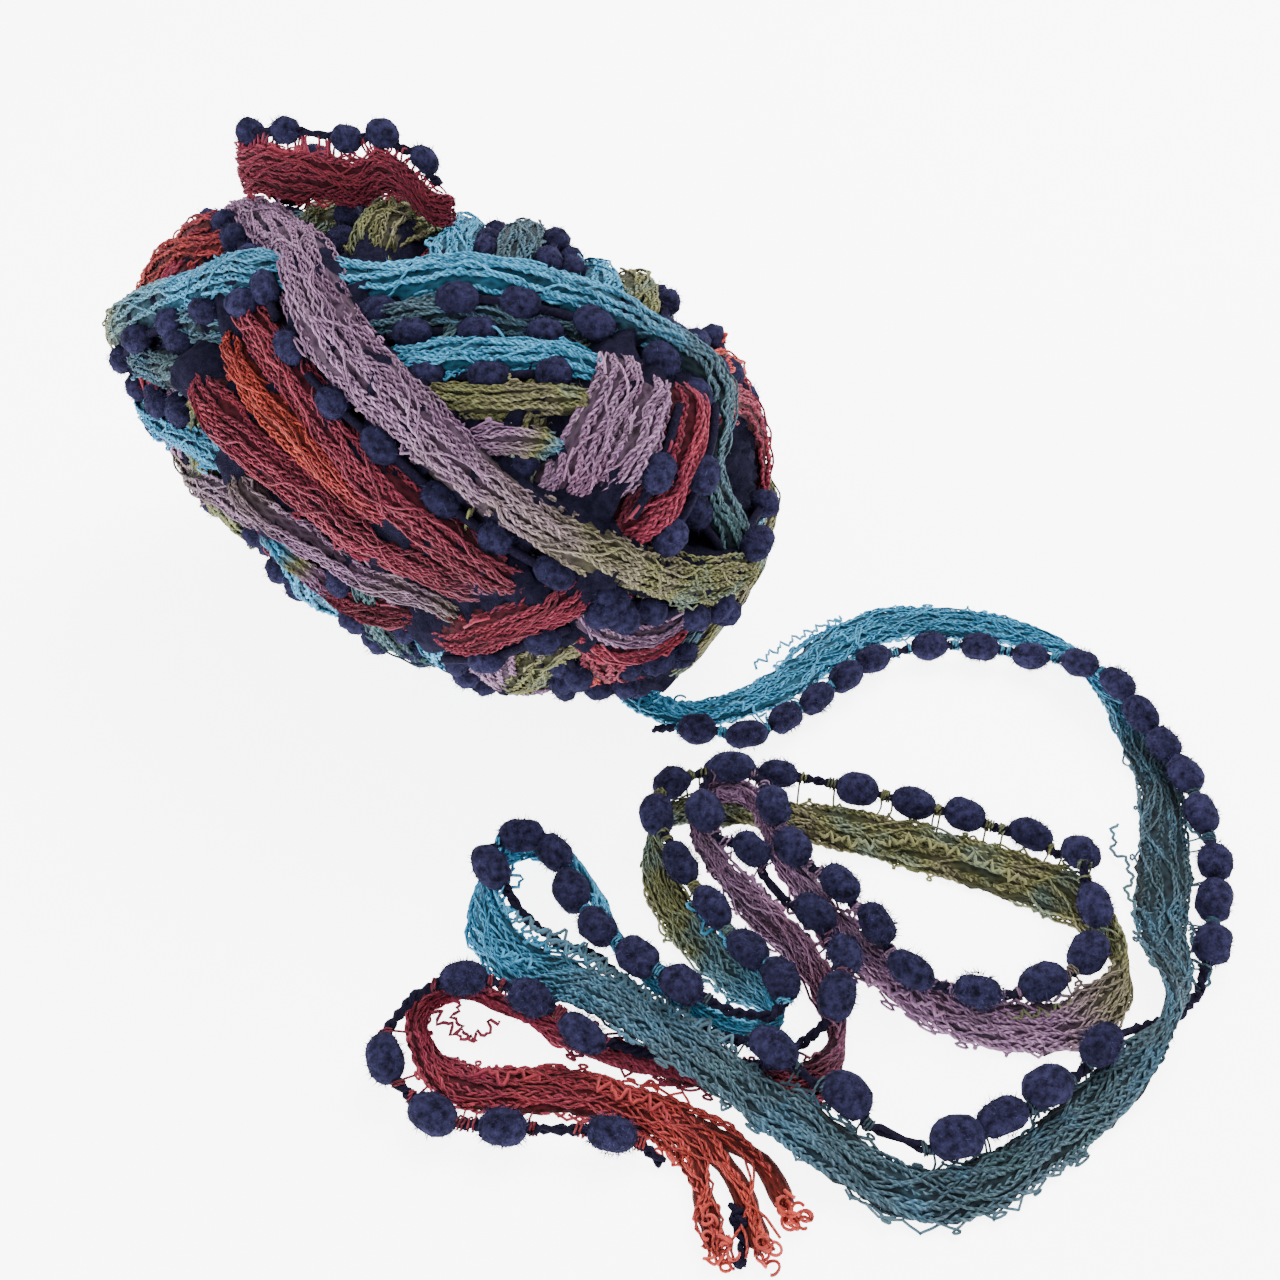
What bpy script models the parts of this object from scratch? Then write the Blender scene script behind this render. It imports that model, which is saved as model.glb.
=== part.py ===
"""Pom pom yarn: a wound ball of gathered mesh ribbon with a string of felted pompoms along one edge of it,
one ribbon loop standing up off its top, and its long loose end lying in loops on the table.

Sizes in the tables are millimetres and degrees. +Z is up and -Y is the side that the loose end lies on.
"""

import math

import bmesh
import bpy
import numpy as np
from mathutils import Vector
from mathutils.bvhtree import BVHTree

MM = 0.001
COLLECTION = "pom_pom_yarn"

# The whole part is shifted by this, so that the middle of its outline is at X = 0, Y = 0.
MIDDLE = np.array([-1.81, -36.3, 0.0])

# The wound ball lies on its belly, its fuller right end lower and nearer the front than its left end.
BALL_CENTRE = np.array([-49.0, 17.5, 46.6])
BALL_TURN = -29.0
BALL_DIP = -8.3
HALF_LENGTH = 79.0
RADIUS = 44.5
FULLER_RIGHT = 0.20
FULLER_BACK = 0.07
FULLEST_AT = -50.0
END_ROUNDING = 0.39
RIGHT_END_LIFT = 7.0
LEFT_END_LIFT = 1.0
BLUNT_FROM = (-86.0, 76.0)
AROUND_STEPS = 74
ALONG_STEPS = 62
SOFTENING = 0.35

# Turns wound straight across the ball, under everything else.
CROSS_TURNS = 17
CROSS_FIRST = -76.0
CROSS_STEP = 9.5
CROSS_WIDTH = 10.0
CROSS_RISE = 3.5
CROSS_SLANT = 7.0
STRING_SPACING = 13.0
POMPOM_RISE = 5.6
POMPOM_SPREAD = 5.6

# The strand itself: a gathered mesh ribbon, and a twisted cord with felted pompoms tied along its edge.
RIBBON_THICKNESS = 3.2
CORD_RADIUS = 1.1
POMPOM_RADIUS = 3.8
POMPOM_HALF_LENGTH = 5.3
SMALL_POMPOM_RADIUS = 2.9
SMALL_POMPOM_HALF_LENGTH = 3.6
STATION = 5.7
CORD_STATION = 8.0
CLEAR = 0.4

# Bands laid over the cross turns, lowest first.
# Width, rise, side of the band that its pompoms are on (1 right, -1 left, 0 none in sight, seen from outside
# and going along it), and the points it passes, as (distance along the ball's long axis from its middle,
# angle around it from the top, towards the front).
BANDS = (
    # over the left end
    (10, 5, 0, ((-28, 36), (-48, 42), (-66, 50), (-80, 80), (-80, 170), (-62, 215), (-30, 235))),
    (10, 5, 1, ((-24, 50), (-44, 58), (-64, 70), (-78, 105), (-74, 170), (-50, 200), (-20, 210))),
    (9, 5, 1, ((-18, 73), (-34, 77), (-54, 92), (-72, 125), (-66, 165), (-40, 180))),
    (9, 4, 0, ((-10, 84), (-26, 90), (-44, 108), (-52, 130), (-30, 160))),
    (9, 6, 1, ((-44, 4), (-62, 8), (-76, 10), (-82, -40), (-70, -90), (-40, -110))),
    (8, 6, 1, ((-50, -6), (-66, -12), (-76, -45), (-66, -100), (-44, -130))),
    (10, 5, 1, ((-30, -34), (-56, -42), (-76, -70), (-80, -140), (-66, -190), (-40, -215))),
    # over the top of the back
    (9, 5, -1, ((-56, -95), (-44, -45), (-35, -12), (-30, 16))),
    (10, 5, 0, ((-44, -110), (-31, -60), (-22, -28), (-12, 9))),
    (10, 5, -1, ((-30, -115), (-19, -60), (-10, -30), (3, 2))),
    (9, 5, -1, ((-14, -115), (-5, -60), (4, -30), (14, -2))),
    (9, 5, 1, ((6, -115), (13, -60), (20, -34), (31, -8))),
    (8, 5, -1, ((16, -115), (21, -64), (27, -38), (40, -11))),
    # along the back
    (10, 5, -1, ((-66, -90), (-34, -78), (0, -74), (36, -80), (64, -94), (78, -130))),
    (10, 5, 1, ((-60, -120), (-28, -104), (8, -100), (44, -106), (70, -126))),
    (9, 4, 0, ((-40, -140), (-10, -128), (22, -126), (52, -134))),
    # inside the ring, from its top inwards
    (8, 4, 0, ((-16, 29), (0, 20), (10, 11), (20, 7), (30, 2), (40, -3), (50, -9))),
    (9, 5, -1, ((2, 33), (10, 27), (18, 20), (30, 13), (40, 9), (47, 7))),
    (8, 5, -1, ((8, 40), (17, 33), (28, 27), (37, 21), (47, 15))),
    (7, 4, 0, ((22, 42), (34, 34), (46, 30))),
    (8, 5, -1, ((40, 2), (44, 12), (46, 24), (48, 34), (50, 44))),
    (7, 5, -1, ((48, 2), (51, 13), (53, 21), (54, 30), (54, 40))),
    (9, 5, -1, ((52, -4), (57, 5), (61, 16), (63, 29), (62, 40), (59, 52))),
    # across the front, below the long diagonal
    (8, 4, 0, ((-12, 82), (-4, 90), (5, 96), (16, 94), (28, 90), (44, 92))),
    (8, 4, 0, ((58, 64), (57, 78), (55, 92), (50, 108), (40, 124))),
    (7, 5, 0, ((-20, 73), (-8, 79), (4, 81), (16, 82), (28, 81), (40, 84))),
    (7, 5, -1, ((54, 68), (60, 76), (66, 81), (73, 83), (79, 84))),
    (7, 4, 0, ((56, 80), (63, 86), (70, 89), (77, 92))),
    (13, 6, 0, ((-34, 54), (-21, 61), (-9, 64), (1, 66), (12, 69), (22, 70), (32, 71), (42, 70))),
    (8, 5, 0, ((-30, 37), (-24, 44), (-16, 50), (-7, 54), (0, 56), (8, 59), (20, 63))),
    (10, 6, -1, ((-34, 26), (-24, 33), (-16, 38), (-7, 44), (1, 49), (10, 54), (19, 58), (29, 62),
                 (39, 65), (46, 67))),
    (10, 5, 1, ((28, 92), (36, 86), (44, 77), (52, 67), (57, 60))),
    # the ring round the face, and the long diagonal over everything
    (11, 6, 1, ((-78, 100), (-76, 80), (-70, 66), (-62, 50), (-54, 38), (-43, 30), (-29, 24), (-10, 15), (5, 5),
                (21, -3), (41, -7), (57, -9), (66, -6), (74, -1), (80, 12), (82, 45), (80, 85), (72, 120))),
    (13, 6, 1, ((-66, -40), (-52, -16), (-40, 0), (-21, 15), (-6, 30), (12, 38), (31, 46), (49, 51),
                (62, 54), (74, 58), (82, 68), (82, 110), (70, 140))),
)

# The dark hollow that the turns leave at the right of the face.
HOLLOW_AT = (74.0, 14.0)
HOLLOW_RADIUS = 15.0
HOLLOW_DEPTH = 12.0

# The ribbon loop that stands up off the ball's back.
# x, y, rise of its lowest edge above the ball, turn of its string edge (0 level on the left, 90 straight up,
# 180 level on the right), and width.
LOOP = (
    (-62.0, 66.0, 0.5, 50, 9),
    (-75.0, 63.5, 1.8, 60, 9),
    (-86.5, 57.0, 1.5, 80, 10),
    (-90.5, 49.0, 1.0, 90, 11),
    (-83.0, 43.5, 1.4, 90, 12),
    (-68.0, 41.0, 1.2, 90, 12),
    (-54.0, 38.0, 1.4, 90, 10),
    (-41.0, 33.0, 0.5, 85, 8),
)

# Its string: x, y, height above the ball, and 1 for a pompom or 0 for bare cord.
LOOP_STRING = (
    (-63.0, 63.0, 9.0, 0),
    (-76.0, 60.5, 10.0, 1),
    (-89.0, 55.0, 11.0, 1),
    (-86.8, 47.0, 13.8, 1),
    (-77.6, 44.2, 18.0, 1),
    (-63.8, 41.2, 17.2, 1),
    (-55.8, 39.2, 12.8, 1),
    (-49.0, 36.8, 10.2, 1),
    (-42.5, 33.5, 9.8, 0),
)

# The loose end, from its frayed end back to the ball: columns as for the loop, above the table.
TAIL = (
    (20.0, -152.0, 0.0, 0, 19),
    (16.0, -139.0, 0.0, 0, 17),
    (7.0, -128.5, 0.0, 0, 11),
    (-12.0, -122.5, 0.0, 0, 10),
    (-33.0, -121.5, 0.0, 8, 10),
    (-41.5, -114.0, 0.0, 55, 8),
    (-43.0, -106.0, 0.0, 80, 7),
    (-36.0, -102.0, 0.0, 95, 8),
    (-22.0, -107.0, 0.0, 95, 7),
    (-10.0, -112.5, 0.0, 20, 6),
    (0.0, -115.5, 0.0, 0, 7),
    (10.0, -117.5, 0.0, 0, 8),
    (24.0, -121.0, 0.0, 0, 9),
    (34.5, -119.5, 0.0, 45, 9),
    (38.0, -111.5, 0.0, 95, 9),
    (34.0, -96.5, 0.0, 120, 9),
    (22.5, -82.0, 1.0, 115, 9),
    (13.5, -69.0, 3.8, 100, 8),
    (13.0, -59.5, 4.6, 90, 7),
    (20.0, -55.0, 4.6, 90, 7),
    (26.5, -60.0, 4.6, 85, 7),
    (30.5, -71.0, 2.0, 75, 8),
    (41.5, -89.5, 0.0, 50, 9),
    (60.0, -105.0, 0.0, 22, 10),
    (79.0, -109.5, 0.0, 18, 11),
    (93.0, -104.0, 0.0, 35, 11),
    (97.0, -93.0, 0.0, 90, 8),
    (89.5, -79.5, 0.0, 150, 12),
    (67.0, -68.5, 0.0, 172, 13),
    (42.0, -60.5, 0.0, 175, 11),
    (17.0, -55.5, 0.0, 175, 8),
    (4.5, -60.5, 0.0, 110, 6),
    (3.5, -73.5, 0.0, 40, 8),
    (10.5, -88.5, 0.0, 30, 10),
    (20.5, -99.0, 0.0, 30, 10),
    (27.0, -106.0, 0.5, 85, 6),
    (23.5, -110.5, 1.0, 100, 6),
    (14.0, -108.0, 1.0, 95, 6),
    (3.5, -101.0, 0.5, 85, 7),
    (-5.0, -91.0, 0.5, 70, 8),
    (-10.0, -79.5, 0.5, 70, 9),
    (-17.5, -70.0, 0.5, 85, 8),
    (-26.5, -68.5, 0.5, 90, 8),
    (-32.0, -76.0, 0.5, 70, 10),
    (-32.0, -87.0, 0.0, 50, 13),
    (-24.0, -96.5, 0.5, 25, 12),
    (-10.5, -104.0, 6.0, 3, 10),
    (7.5, -115.5, 6.5, 0, 10),
    (26.0, -129.0, 6.0, 0, 11),
    (47.0, -141.0, 0.0, 5, 11),
    (62.0, -139.5, 0.0, 12, 10),
    (80.0, -128.5, 0.0, 12, 10),
    (93.0, -118.5, 0.8, -10, 10),
    (102.5, -109.0, 2.8, -90, 8),
    (106.5, -98.0, 1.5, -150, 11),
    (109.5, -84.0, 0.0, -180, 13),
    (115.0, -66.0, 0.0, -182, 12),
    (118.8, -48.0, 0.0, -183, 10),
    (117.0, -33.0, 0.0, -195, 9),
    (113.0, -21.0, 0.0, -265, 6),
    (108.0, -8.5, 0.0, -320, 10),
    (98.0, -0.5, 0.0, -345, 12),
    (82.0, 4.0, 0.0, -352, 14),
    (63.0, 3.5, 0.0, -352, 14),
    (47.0, -6.5, 0.0, -350, 14),
    (33.0, -19.5, 0.0, -345, 13),
    (18.0, -26.5, 0.0, -345, 11),
    (5.0, -25.5, 0.0, -350, 9),
    (-3.0, -19.0, 0.0, -352, 8),
)

# Its string: x, y, height of its middle above the table, and 1 for a pompom or 0 for bare cord.
TAIL_STRING = (
    (5.0, -134.5, 1.4, 0),
    (-5.0, -131.5, 5.0, 1),
    (-25.0, -130.5, 5.0, 1),
    (-38.0, -128.0, 5.0, 1),
    (-48.0, -118.5, 7.5, 1),
    (-45.5, -109.0, 10.0, 0),
    (-34.0, -104.0, 12.0, 1),
    (-21.0, -108.0, 11.5, 1),
    (-10.0, -113.0, 9.0, 1),
    (-2.0, -115.5, 5.0, 0),
    (10.0, -117.0, 4.8, 0),
    (24.0, -118.5, 4.8, 0),
    (33.0, -115.5, 9.0, 0),
    (37.5, -108.5, 13.0, 1),
    (39.0, -99.0, 9.5, 1),
    (34.0, -89.0, 6.5, 1),
    (26.5, -81.0, 8.5, 0),
    (20.0, -76.5, 9.5, 1),
    (13.5, -67.0, 14.5, 1),
    (13.5, -58.5, 15.2, 0),
    (20.0, -54.5, 15.2, 1),
    (26.0, -58.0, 15.2, 0),
    (28.5, -64.5, 14.5, 1),
    (32.0, -74.0, 11.5, 1),
    (40.5, -82.5, 10.0, 1),
    (47.0, -91.5, 8.5, 1),
    (53.5, -100.0, 6.5, 1),
    (65.5, -105.0, 7.0, 1),
    (79.0, -103.5, 7.0, 1),
    (89.5, -96.5, 8.0, 1),
    (94.0, -86.5, 9.0, 1),
    (92.5, -75.0, 5.5, 1),
    (84.5, -66.5, 5.0, 1),
    (71.5, -60.5, 5.0, 1),
    (61.0, -56.5, 5.0, 1),
    (49.0, -52.5, 5.0, 1),
    (31.5, -48.0, 5.0, 1),
    (19.0, -47.0, 5.0, 1),
    (7.0, -53.0, 8.0, 1),
    (3.5, -64.0, 11.0, 1),
    (8.5, -76.0, 10.0, 1),
    (14.5, -87.0, 9.0, 1),
    (21.5, -96.5, 9.5, 1),
    (27.5, -103.5, 10.5, 1),
    (27.0, -110.0, 10.5, 0),
    (22.0, -112.0, 10.5, 0),
    (15.5, -109.5, 10.5, 0),
    (8.0, -105.5, 12.0, 1),
    (-0.5, -99.5, 12.0, 1),
    (-8.0, -92.0, 10.5, 1),
    (-13.5, -83.0, 10.0, 1),
    (-17.5, -74.5, 11.5, 1),
    (-25.0, -70.5, 12.5, 1),
    (-32.0, -74.5, 12.0, 0),
    (-30.5, -80.5, 12.0, 1),
    (-24.0, -87.5, 9.0, 0),
    (-17.5, -94.0, 8.0, 0),
    (-8.0, -99.5, 7.5, 0),
    (3.0, -106.5, 6.0, 0),
    (14.0, -113.0, 6.0, 0),
    (24.5, -118.5, 11.0, 1),
    (36.5, -127.5, 7.0, 1),
    (48.0, -134.0, 4.5, 0),
    (57.5, -134.0, 5.0, 1),
    (66.5, -130.5, 5.5, 1),
    (76.0, -125.0, 5.5, 1),
    (88.0, -116.5, 5.0, 1),
    (98.0, -110.0, 1.4, 0),
    (108.0, -104.0, 1.4, 0),
    (115.5, -92.5, 5.0, 1),
    (120.0, -82.0, 5.0, 1),
    (122.7, -73.0, 6.0, 1),
    (123.5, -60.5, 6.5, 1),
    (123.0, -50.0, 7.0, 1),
    (120.5, -41.5, 7.5, 1),
    (117.0, -33.5, 9.0, 1),
    (113.5, -25.0, 10.5, 1),
    (107.5, -16.5, 8.5, 1),
    (97.0, -10.5, 5.0, 1),
    (85.0, -7.5, 5.0, 1),
    (72.5, -7.0, 5.0, 1),
    (57.5, -11.5, 5.0, 1),
    (50.0, -17.5, 5.0, 1),
    (42.0, -24.5, 5.0, 1),
    (34.5, -31.0, 5.0, 1),
    (25.0, -36.5, 5.0, 1),
    (13.5, -34.0, 5.0, 1),
    (3.0, -31.5, 1.4, 0),
)

NAVY = (0.035, 0.035, 0.09)
CRIMSON = (0.36, 0.06, 0.075)
LILAC = (0.27, 0.17, 0.27)
LIGHT_BLUE = (0.075, 0.32, 0.42)


def unit(v):
    return v / np.linalg.norm(v, axis=-1, keepdims=True)


def ball_axes():
    """The ball's long axis, its level cross axis to the front, and the one square to both, upwards."""
    turn, dip = math.radians(BALL_TURN), math.radians(BALL_DIP)
    along = np.array([math.cos(turn) * math.cos(dip), math.sin(turn) * math.cos(dip), math.sin(dip)])
    front = np.array([math.sin(turn), -math.cos(turn), 0.0])
    return np.array([along, front, np.cross(front, along)])


AXES = ball_axes()


def core_radius(along, around):
    """Radius of the ball's core along and around its long axis: a blunt oval, fuller to the right and back."""
    s = np.clip(along / HALF_LENGTH, -1.0, 1.0)
    back = 1.0 + FULLER_BACK * np.cos(np.radians(around - FULLEST_AT))
    return RADIUS * (1.0 - s * s) ** END_ROUNDING * (1.0 + FULLER_RIGHT * s) * back


def directions_at(along, around):
    """Unit directions from the ball's centre to the core's surface, in the ball's own axes."""
    angle = np.radians(around)
    k = core_radius(along, around)
    return unit(np.stack([along, k * np.sin(angle), k * np.cos(angle)], axis=-1))


def core_distance(directions):
    """Distance from the ball's centre to its core's surface along each direction, by halving."""
    low = np.zeros(len(directions))
    high = np.full(len(directions), 1.2 * HALF_LENGTH)
    across = np.hypot(directions[:, 1], directions[:, 2])
    around = np.degrees(np.arctan2(directions[:, 1], directions[:, 2]))
    for _ in range(40):
        middle = 0.5 * (low + high)
        along = middle * directions[:, 0]
        inside = (np.abs(along) < HALF_LENGTH) & (middle * across < core_radius(along, around))
        low = np.where(inside, middle, low)
        high = np.where(inside, high, middle)
    return low


def smooth_route(rows, spacing):
    """Rows of the smooth curve through the given rows, about spacing apart by their first three columns."""
    rows = np.asarray(rows, float)
    ends = np.vstack([2 * rows[0] - rows[1], rows, 2 * rows[-1] - rows[-2]])
    t = np.linspace(0.0, 1.0, 24, endpoint=False)[:, None]
    fine = []
    for a, b, c, d in zip(ends[:-3], ends[1:-2], ends[2:-1], ends[3:]):
        fine.append(0.5 * (2 * b + (c - a) * t + (2 * a - 5 * b + 4 * c - d) * t**2
                           + (3 * b - a - 3 * c + d) * t**3))
    fine = np.vstack([*fine, rows[-1:]])
    place = np.minimum(np.arange(len(fine)) / 24.0, len(rows) - 1.0)
    steps = np.linalg.norm(np.diff(fine[:, :3], axis=0), axis=1)
    run = np.concatenate([[0.0], np.cumsum(steps)])
    count = max(int(round(run[-1] / spacing)), 2)
    at = np.linspace(0.0, run[-1], count + 1)
    columns = [np.interp(at, run, fine[:, i]) for i in range(fine.shape[1])]
    return np.stack(columns, axis=1), np.interp(at, run, place), at


def route_on_core(points, spacing=3.0):
    """Points of the core's surface along a band, in the ball's axes."""
    points = np.asarray(points, float)
    ways = directions_at(points[:, 0], points[:, 1])
    start = ways * core_distance(ways)[:, None]
    route = unit(smooth_route(start, spacing)[0])
    return route * core_distance(route)[:, None]


def lay_band(core, relief, route, width, rise):
    """Raises relief along route by a rounded band that lies on what is under it and bridges its dips."""
    gaps = np.linalg.norm(core[:, None] - route[None], axis=2)
    near = np.exp(-((gaps / (0.35 * width)) ** 2))
    under = (near * relief[:, None]).sum(axis=0) / near.sum(axis=0)
    spread = np.exp(-((np.subtract.outer(np.arange(len(route)), np.arange(len(route))) / 3.0) ** 2))
    under = spread @ under / spread.sum(axis=1)
    nearest = gaps.argmin(axis=1)
    across = gaps.min(axis=1) / (0.5 * width)
    top = under[nearest] + rise * np.clip(1.0 - across**2, 0.0, 1.0) ** 0.7
    return np.where(across < 1.0, np.maximum(relief, top), relief), under


def lay_pompoms(core, relief, route, under, width, side):
    """Raises a row of pompoms beside a band, on its right or left."""
    along = unit(np.gradient(route, axis=0))
    right = np.cross(unit(route), along)
    row = route + side * (0.5 * width + 0.3 * POMPOM_RADIUS) * right
    run = np.concatenate([[0.0], np.cumsum(np.linalg.norm(np.diff(row, axis=0), axis=1))])
    for at in np.arange(0.5 * STRING_SPACING, run[-1], STRING_SPACING):
        i = int(np.searchsorted(run, at))
        gap = np.linalg.norm(core - row[i], axis=1)
        top = under[i] + POMPOM_RISE * np.clip(1.0 - (gap / POMPOM_SPREAD) ** 2, 0.0, 1.0)
        relief = np.where(gap < POMPOM_SPREAD, np.maximum(relief, top), relief)
    return relief


def cross_turn(number):
    """The points of one turn across the ball, slanted the other way from its neighbours."""
    slant = CROSS_SLANT if number % 2 else -CROSS_SLANT
    around = np.arange(180.0, 541.0, 30.0)
    along = CROSS_FIRST + CROSS_STEP * number + slant * np.sin(np.radians(around + 40.0 * number))
    return np.stack([np.clip(along, -82.0, 82.0), around], axis=1)


def wound_relief(core):
    """Height of the winding over the core: the hollow, the cross turns and then the bands."""
    hollow = directions_at(*(np.array([v]) for v in HOLLOW_AT))
    hollow = hollow * core_distance(hollow)[:, None]
    depth = np.linalg.norm(core - hollow, axis=1) / HOLLOW_RADIUS
    relief = np.zeros(len(core))
    for number in range(CROSS_TURNS):
        route = route_on_core(cross_turn(number))
        relief, under = lay_band(core, relief, route, CROSS_WIDTH, CROSS_RISE)
        relief = lay_pompoms(core, relief, route, under, CROSS_WIDTH, 1)
    relief -= HOLLOW_DEPTH * np.exp(-depth**2)
    for width, rise, side, points in BANDS:
        route = route_on_core(points)
        relief, under = lay_band(core, relief, route, width, rise)
        if side:
            relief = lay_pompoms(core, relief, route, under, width, side)
    return relief


def new_object(name, bm, colour, collection):
    """An object from a bmesh in millimetres, smooth, in its own soft woollen material."""
    bmesh.ops.translate(bm, verts=bm.verts, vec=Vector(-MIDDLE))
    bmesh.ops.scale(bm, verts=bm.verts, vec=(MM, MM, MM))
    bmesh.ops.recalc_face_normals(bm, faces=bm.faces)
    mesh = bpy.data.meshes.new(name)
    bm.to_mesh(mesh)
    bm.free()
    mesh.shade_smooth()
    material = bpy.data.materials.new(name)
    material.use_nodes = True
    shader = material.node_tree.nodes["Principled BSDF"]
    shader.inputs["Base Color"].default_value = (*colour, 1.0)
    shader.inputs["Roughness"].default_value = 0.9
    shader.inputs["Metallic"].default_value = 0.0
    mesh.materials.append(material)
    thing = bpy.data.objects.new(name, mesh)
    collection.objects.link(thing)
    return thing


def wound_ball(collection):
    """The ball: a sphere whose points move out to the winding's surface, flat where it rests on the table."""
    bm = bmesh.new()
    bmesh.ops.create_uvsphere(bm, u_segments=AROUND_STEPS, v_segments=ALONG_STEPS, radius=1.0)
    points = np.array([v.co[:] for v in bm.verts])
    around = np.degrees(np.arctan2(points[:, 1], points[:, 0]))
    along = HALF_LENGTH * np.clip(points[:, 2], -0.9999, 0.9999)
    ways = directions_at(along, around)
    reach = core_distance(ways)
    relief = wound_relief(ways * reach[:, None])
    places = ways * (reach + relief)[:, None]
    share = places[:, 0] / HALF_LENGTH
    places[:, 0] = 0.5 * (places[:, 0] + np.clip(places[:, 0], *BLUNT_FROM))
    places[:, 2] += np.where(share > 0.0, RIGHT_END_LIFT, LEFT_END_LIFT) * share**2
    places = BALL_CENTRE + places @ AXES
    for vertex, place in zip(bm.verts, places):
        vertex.co = place
    bmesh.ops.smooth_vert(bm, verts=bm.verts, factor=SOFTENING, use_axis_x=True, use_axis_y=True,
                          use_axis_z=True)
    for vertex in bm.verts:
        vertex.co.z = max(vertex.co.z, 0.0)
    bmesh.ops.recalc_face_normals(bm, faces=bm.faces)
    bm.normal_update()
    tree = BVHTree.FromBMesh(bm)
    return new_object("wound_ball", bm, CRIMSON, collection), tree


def section(width):
    """A flat oval, as (across, through) pairs, string edge first."""
    half, thin = 0.5 * width, 0.5 * RIBBON_THICKNESS
    top = [(half, 0.0), (0.86 * half, 0.62 * thin), (0.45 * half, thin), (-0.45 * half, thin)]
    top += [(-0.86 * half, 0.62 * thin)]
    return np.array(top + [(-a, -b) for a, b in top])


def frames(middle, turn):
    """Across (to the string edge) and through directions of a ribbon along middle, turned from level."""
    along = unit(np.gradient(middle, axis=0) * [1.0, 1.0, 0.0])
    left = np.stack([-along[:, 1], along[:, 0], np.zeros(len(along))], axis=1)
    up = np.array([0.0, 0.0, 1.0])
    angle = np.radians(turn)[:, None]
    return np.cos(angle) * left + np.sin(angle) * up, np.cos(angle) * up - np.sin(angle) * left


def loft(rings):
    """A closed body through rings of as many points each, its ends closed by one face."""
    bm = bmesh.new()
    rows = [[bm.verts.new(p) for p in ring] for ring in rings]
    count = len(rows[0])
    for a, b in zip(rows[:-1], rows[1:]):
        for i in range(count):
            bm.faces.new((a[i], a[(i + 1) % count], b[(i + 1) % count], b[i]))
    bm.faces.new(rows[0][::-1])
    bm.faces.new(rows[-1])
    return bm


def ribbon_rings(rows, floor):
    """Outlines of a ribbon at even stations, each lying on the floor at its lowest point plus its rise."""
    table = smooth_route([(x, y, 0.0, rise, turn, width) for x, y, rise, turn, width in rows], STATION)[0]
    across, through = frames(table[:, :3], table[:, 4])
    flat = np.array([section(width) for width in table[:, 5]])
    rings = table[:, None, :3] + flat[:, :, :1] * across[:, None] + flat[:, :, 1:] * through[:, None]
    ground = floor(rings.reshape(-1, 3)).reshape(rings.shape[:2])
    rings[:, :, 2] += ((ground - rings[:, :, 2]).max(axis=1) + np.maximum(table[:, 3], 0.0))[:, None]
    return rings


def ribbon(name, rings, colour, collection):
    bm = loft(rings)
    bmesh.ops.recalc_face_normals(bm, faces=bm.faces)
    bm.normal_update()
    tree = BVHTree.FromBMesh(bm)
    return new_object(name, bm, colour, collection), tree


def string_stations(rows, floor, radius, half):
    """Middle, heading and radius at the stations of a string whose pompoms have a radius and a half length:
    six on each pompom, fewer on bare cord."""
    rows = np.array(rows, float)
    rows[:, 2] += floor(rows)
    line, place, run = smooth_route(rows, 1.0)
    spots = np.interp(np.arange(len(rows)), place, run)[rows[:, 3] > 0]
    swell = np.array([-1.0, -0.8, -0.3, 0.3, 0.8, 1.0]) * half
    bare = [at for at in np.arange(0.0, run[-1], CORD_STATION) if np.abs(spots - at).min() > half + 2.5]
    at = np.sort(np.clip(np.concatenate([(spots[:, None] + swell).ravel(), bare, [run[-1]]]), 0.0, run[-1]))
    at = at[np.concatenate([[True], np.diff(at) > 0.19 * half])]
    apart = np.abs(at[:, None] - spots).min(axis=1) / half
    size = np.maximum(radius * np.sqrt(np.clip(1.0 - apart**2.4, 0.0, 1.0)), CORD_RADIUS)
    ways = np.gradient(line, axis=0)
    middle = np.stack([np.interp(at, run, line[:, i]) for i in range(3)], axis=1)
    ahead = unit(np.stack([np.interp(at, run, ways[:, i]) for i in range(3)], axis=1))
    return middle, ahead, size


def shortfall(spot, room, trees):
    """The move that a spot needs to be at least room away from every body."""
    move = Vector((0.0, 0.0, 0.0))
    for tree in trees:
        hit, normal, _, _ = tree.find_nearest(spot)
        away = spot - hit
        outside = away.dot(normal) > 0.0 or away.length > RIBBON_THICKNESS
        way = away.normalized() if outside and away.length > 0.2 else normal
        gap = away.length if outside else -away.length
        if gap < room:
            move += way * (room - gap)
    return np.array(move)


def keep_off(middle, size, trees):
    """Moves a string's stations, and so its spans between them, out of the ribbons' way and off the table."""
    middle = middle.copy()
    for _ in range(40):
        for i in range(len(middle) - 1):
            for share in (0.0, 0.33, 0.67):
                spot = Vector((1.0 - share) * middle[i] + share * middle[i + 1])
                room = (1.0 - share) * size[i] + share * size[i + 1] + CLEAR
                move = 0.7 * shortfall(spot, room, trees)
                middle[i] += move * (1.0 - share)
                middle[i + 1] += move * share
        middle[:, 2] = np.maximum(middle[:, 2], size)
    return middle


def pompom_string(name, stations, trees, collection):
    """The twisted cord beside the ribbon's string edge, swelling into its pompoms."""
    middle, ahead, size = stations
    middle = keep_off(middle, size, trees)
    side = unit(np.stack([-ahead[:, 1], ahead[:, 0], np.zeros(len(ahead))], axis=1))
    up = np.cross(ahead, side)
    angles = np.radians(np.arange(0.0, 360.0, 60.0))[:, None]
    rings = [p + r * (np.cos(angles) * s + np.sin(angles) * u) for p, s, u, r in zip(middle, side, up, size)]
    return new_object(name, loft(rings), NAVY, collection)


def clear_scene():
    for thing in list(bpy.data.objects):
        bpy.data.objects.remove(thing)


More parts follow.
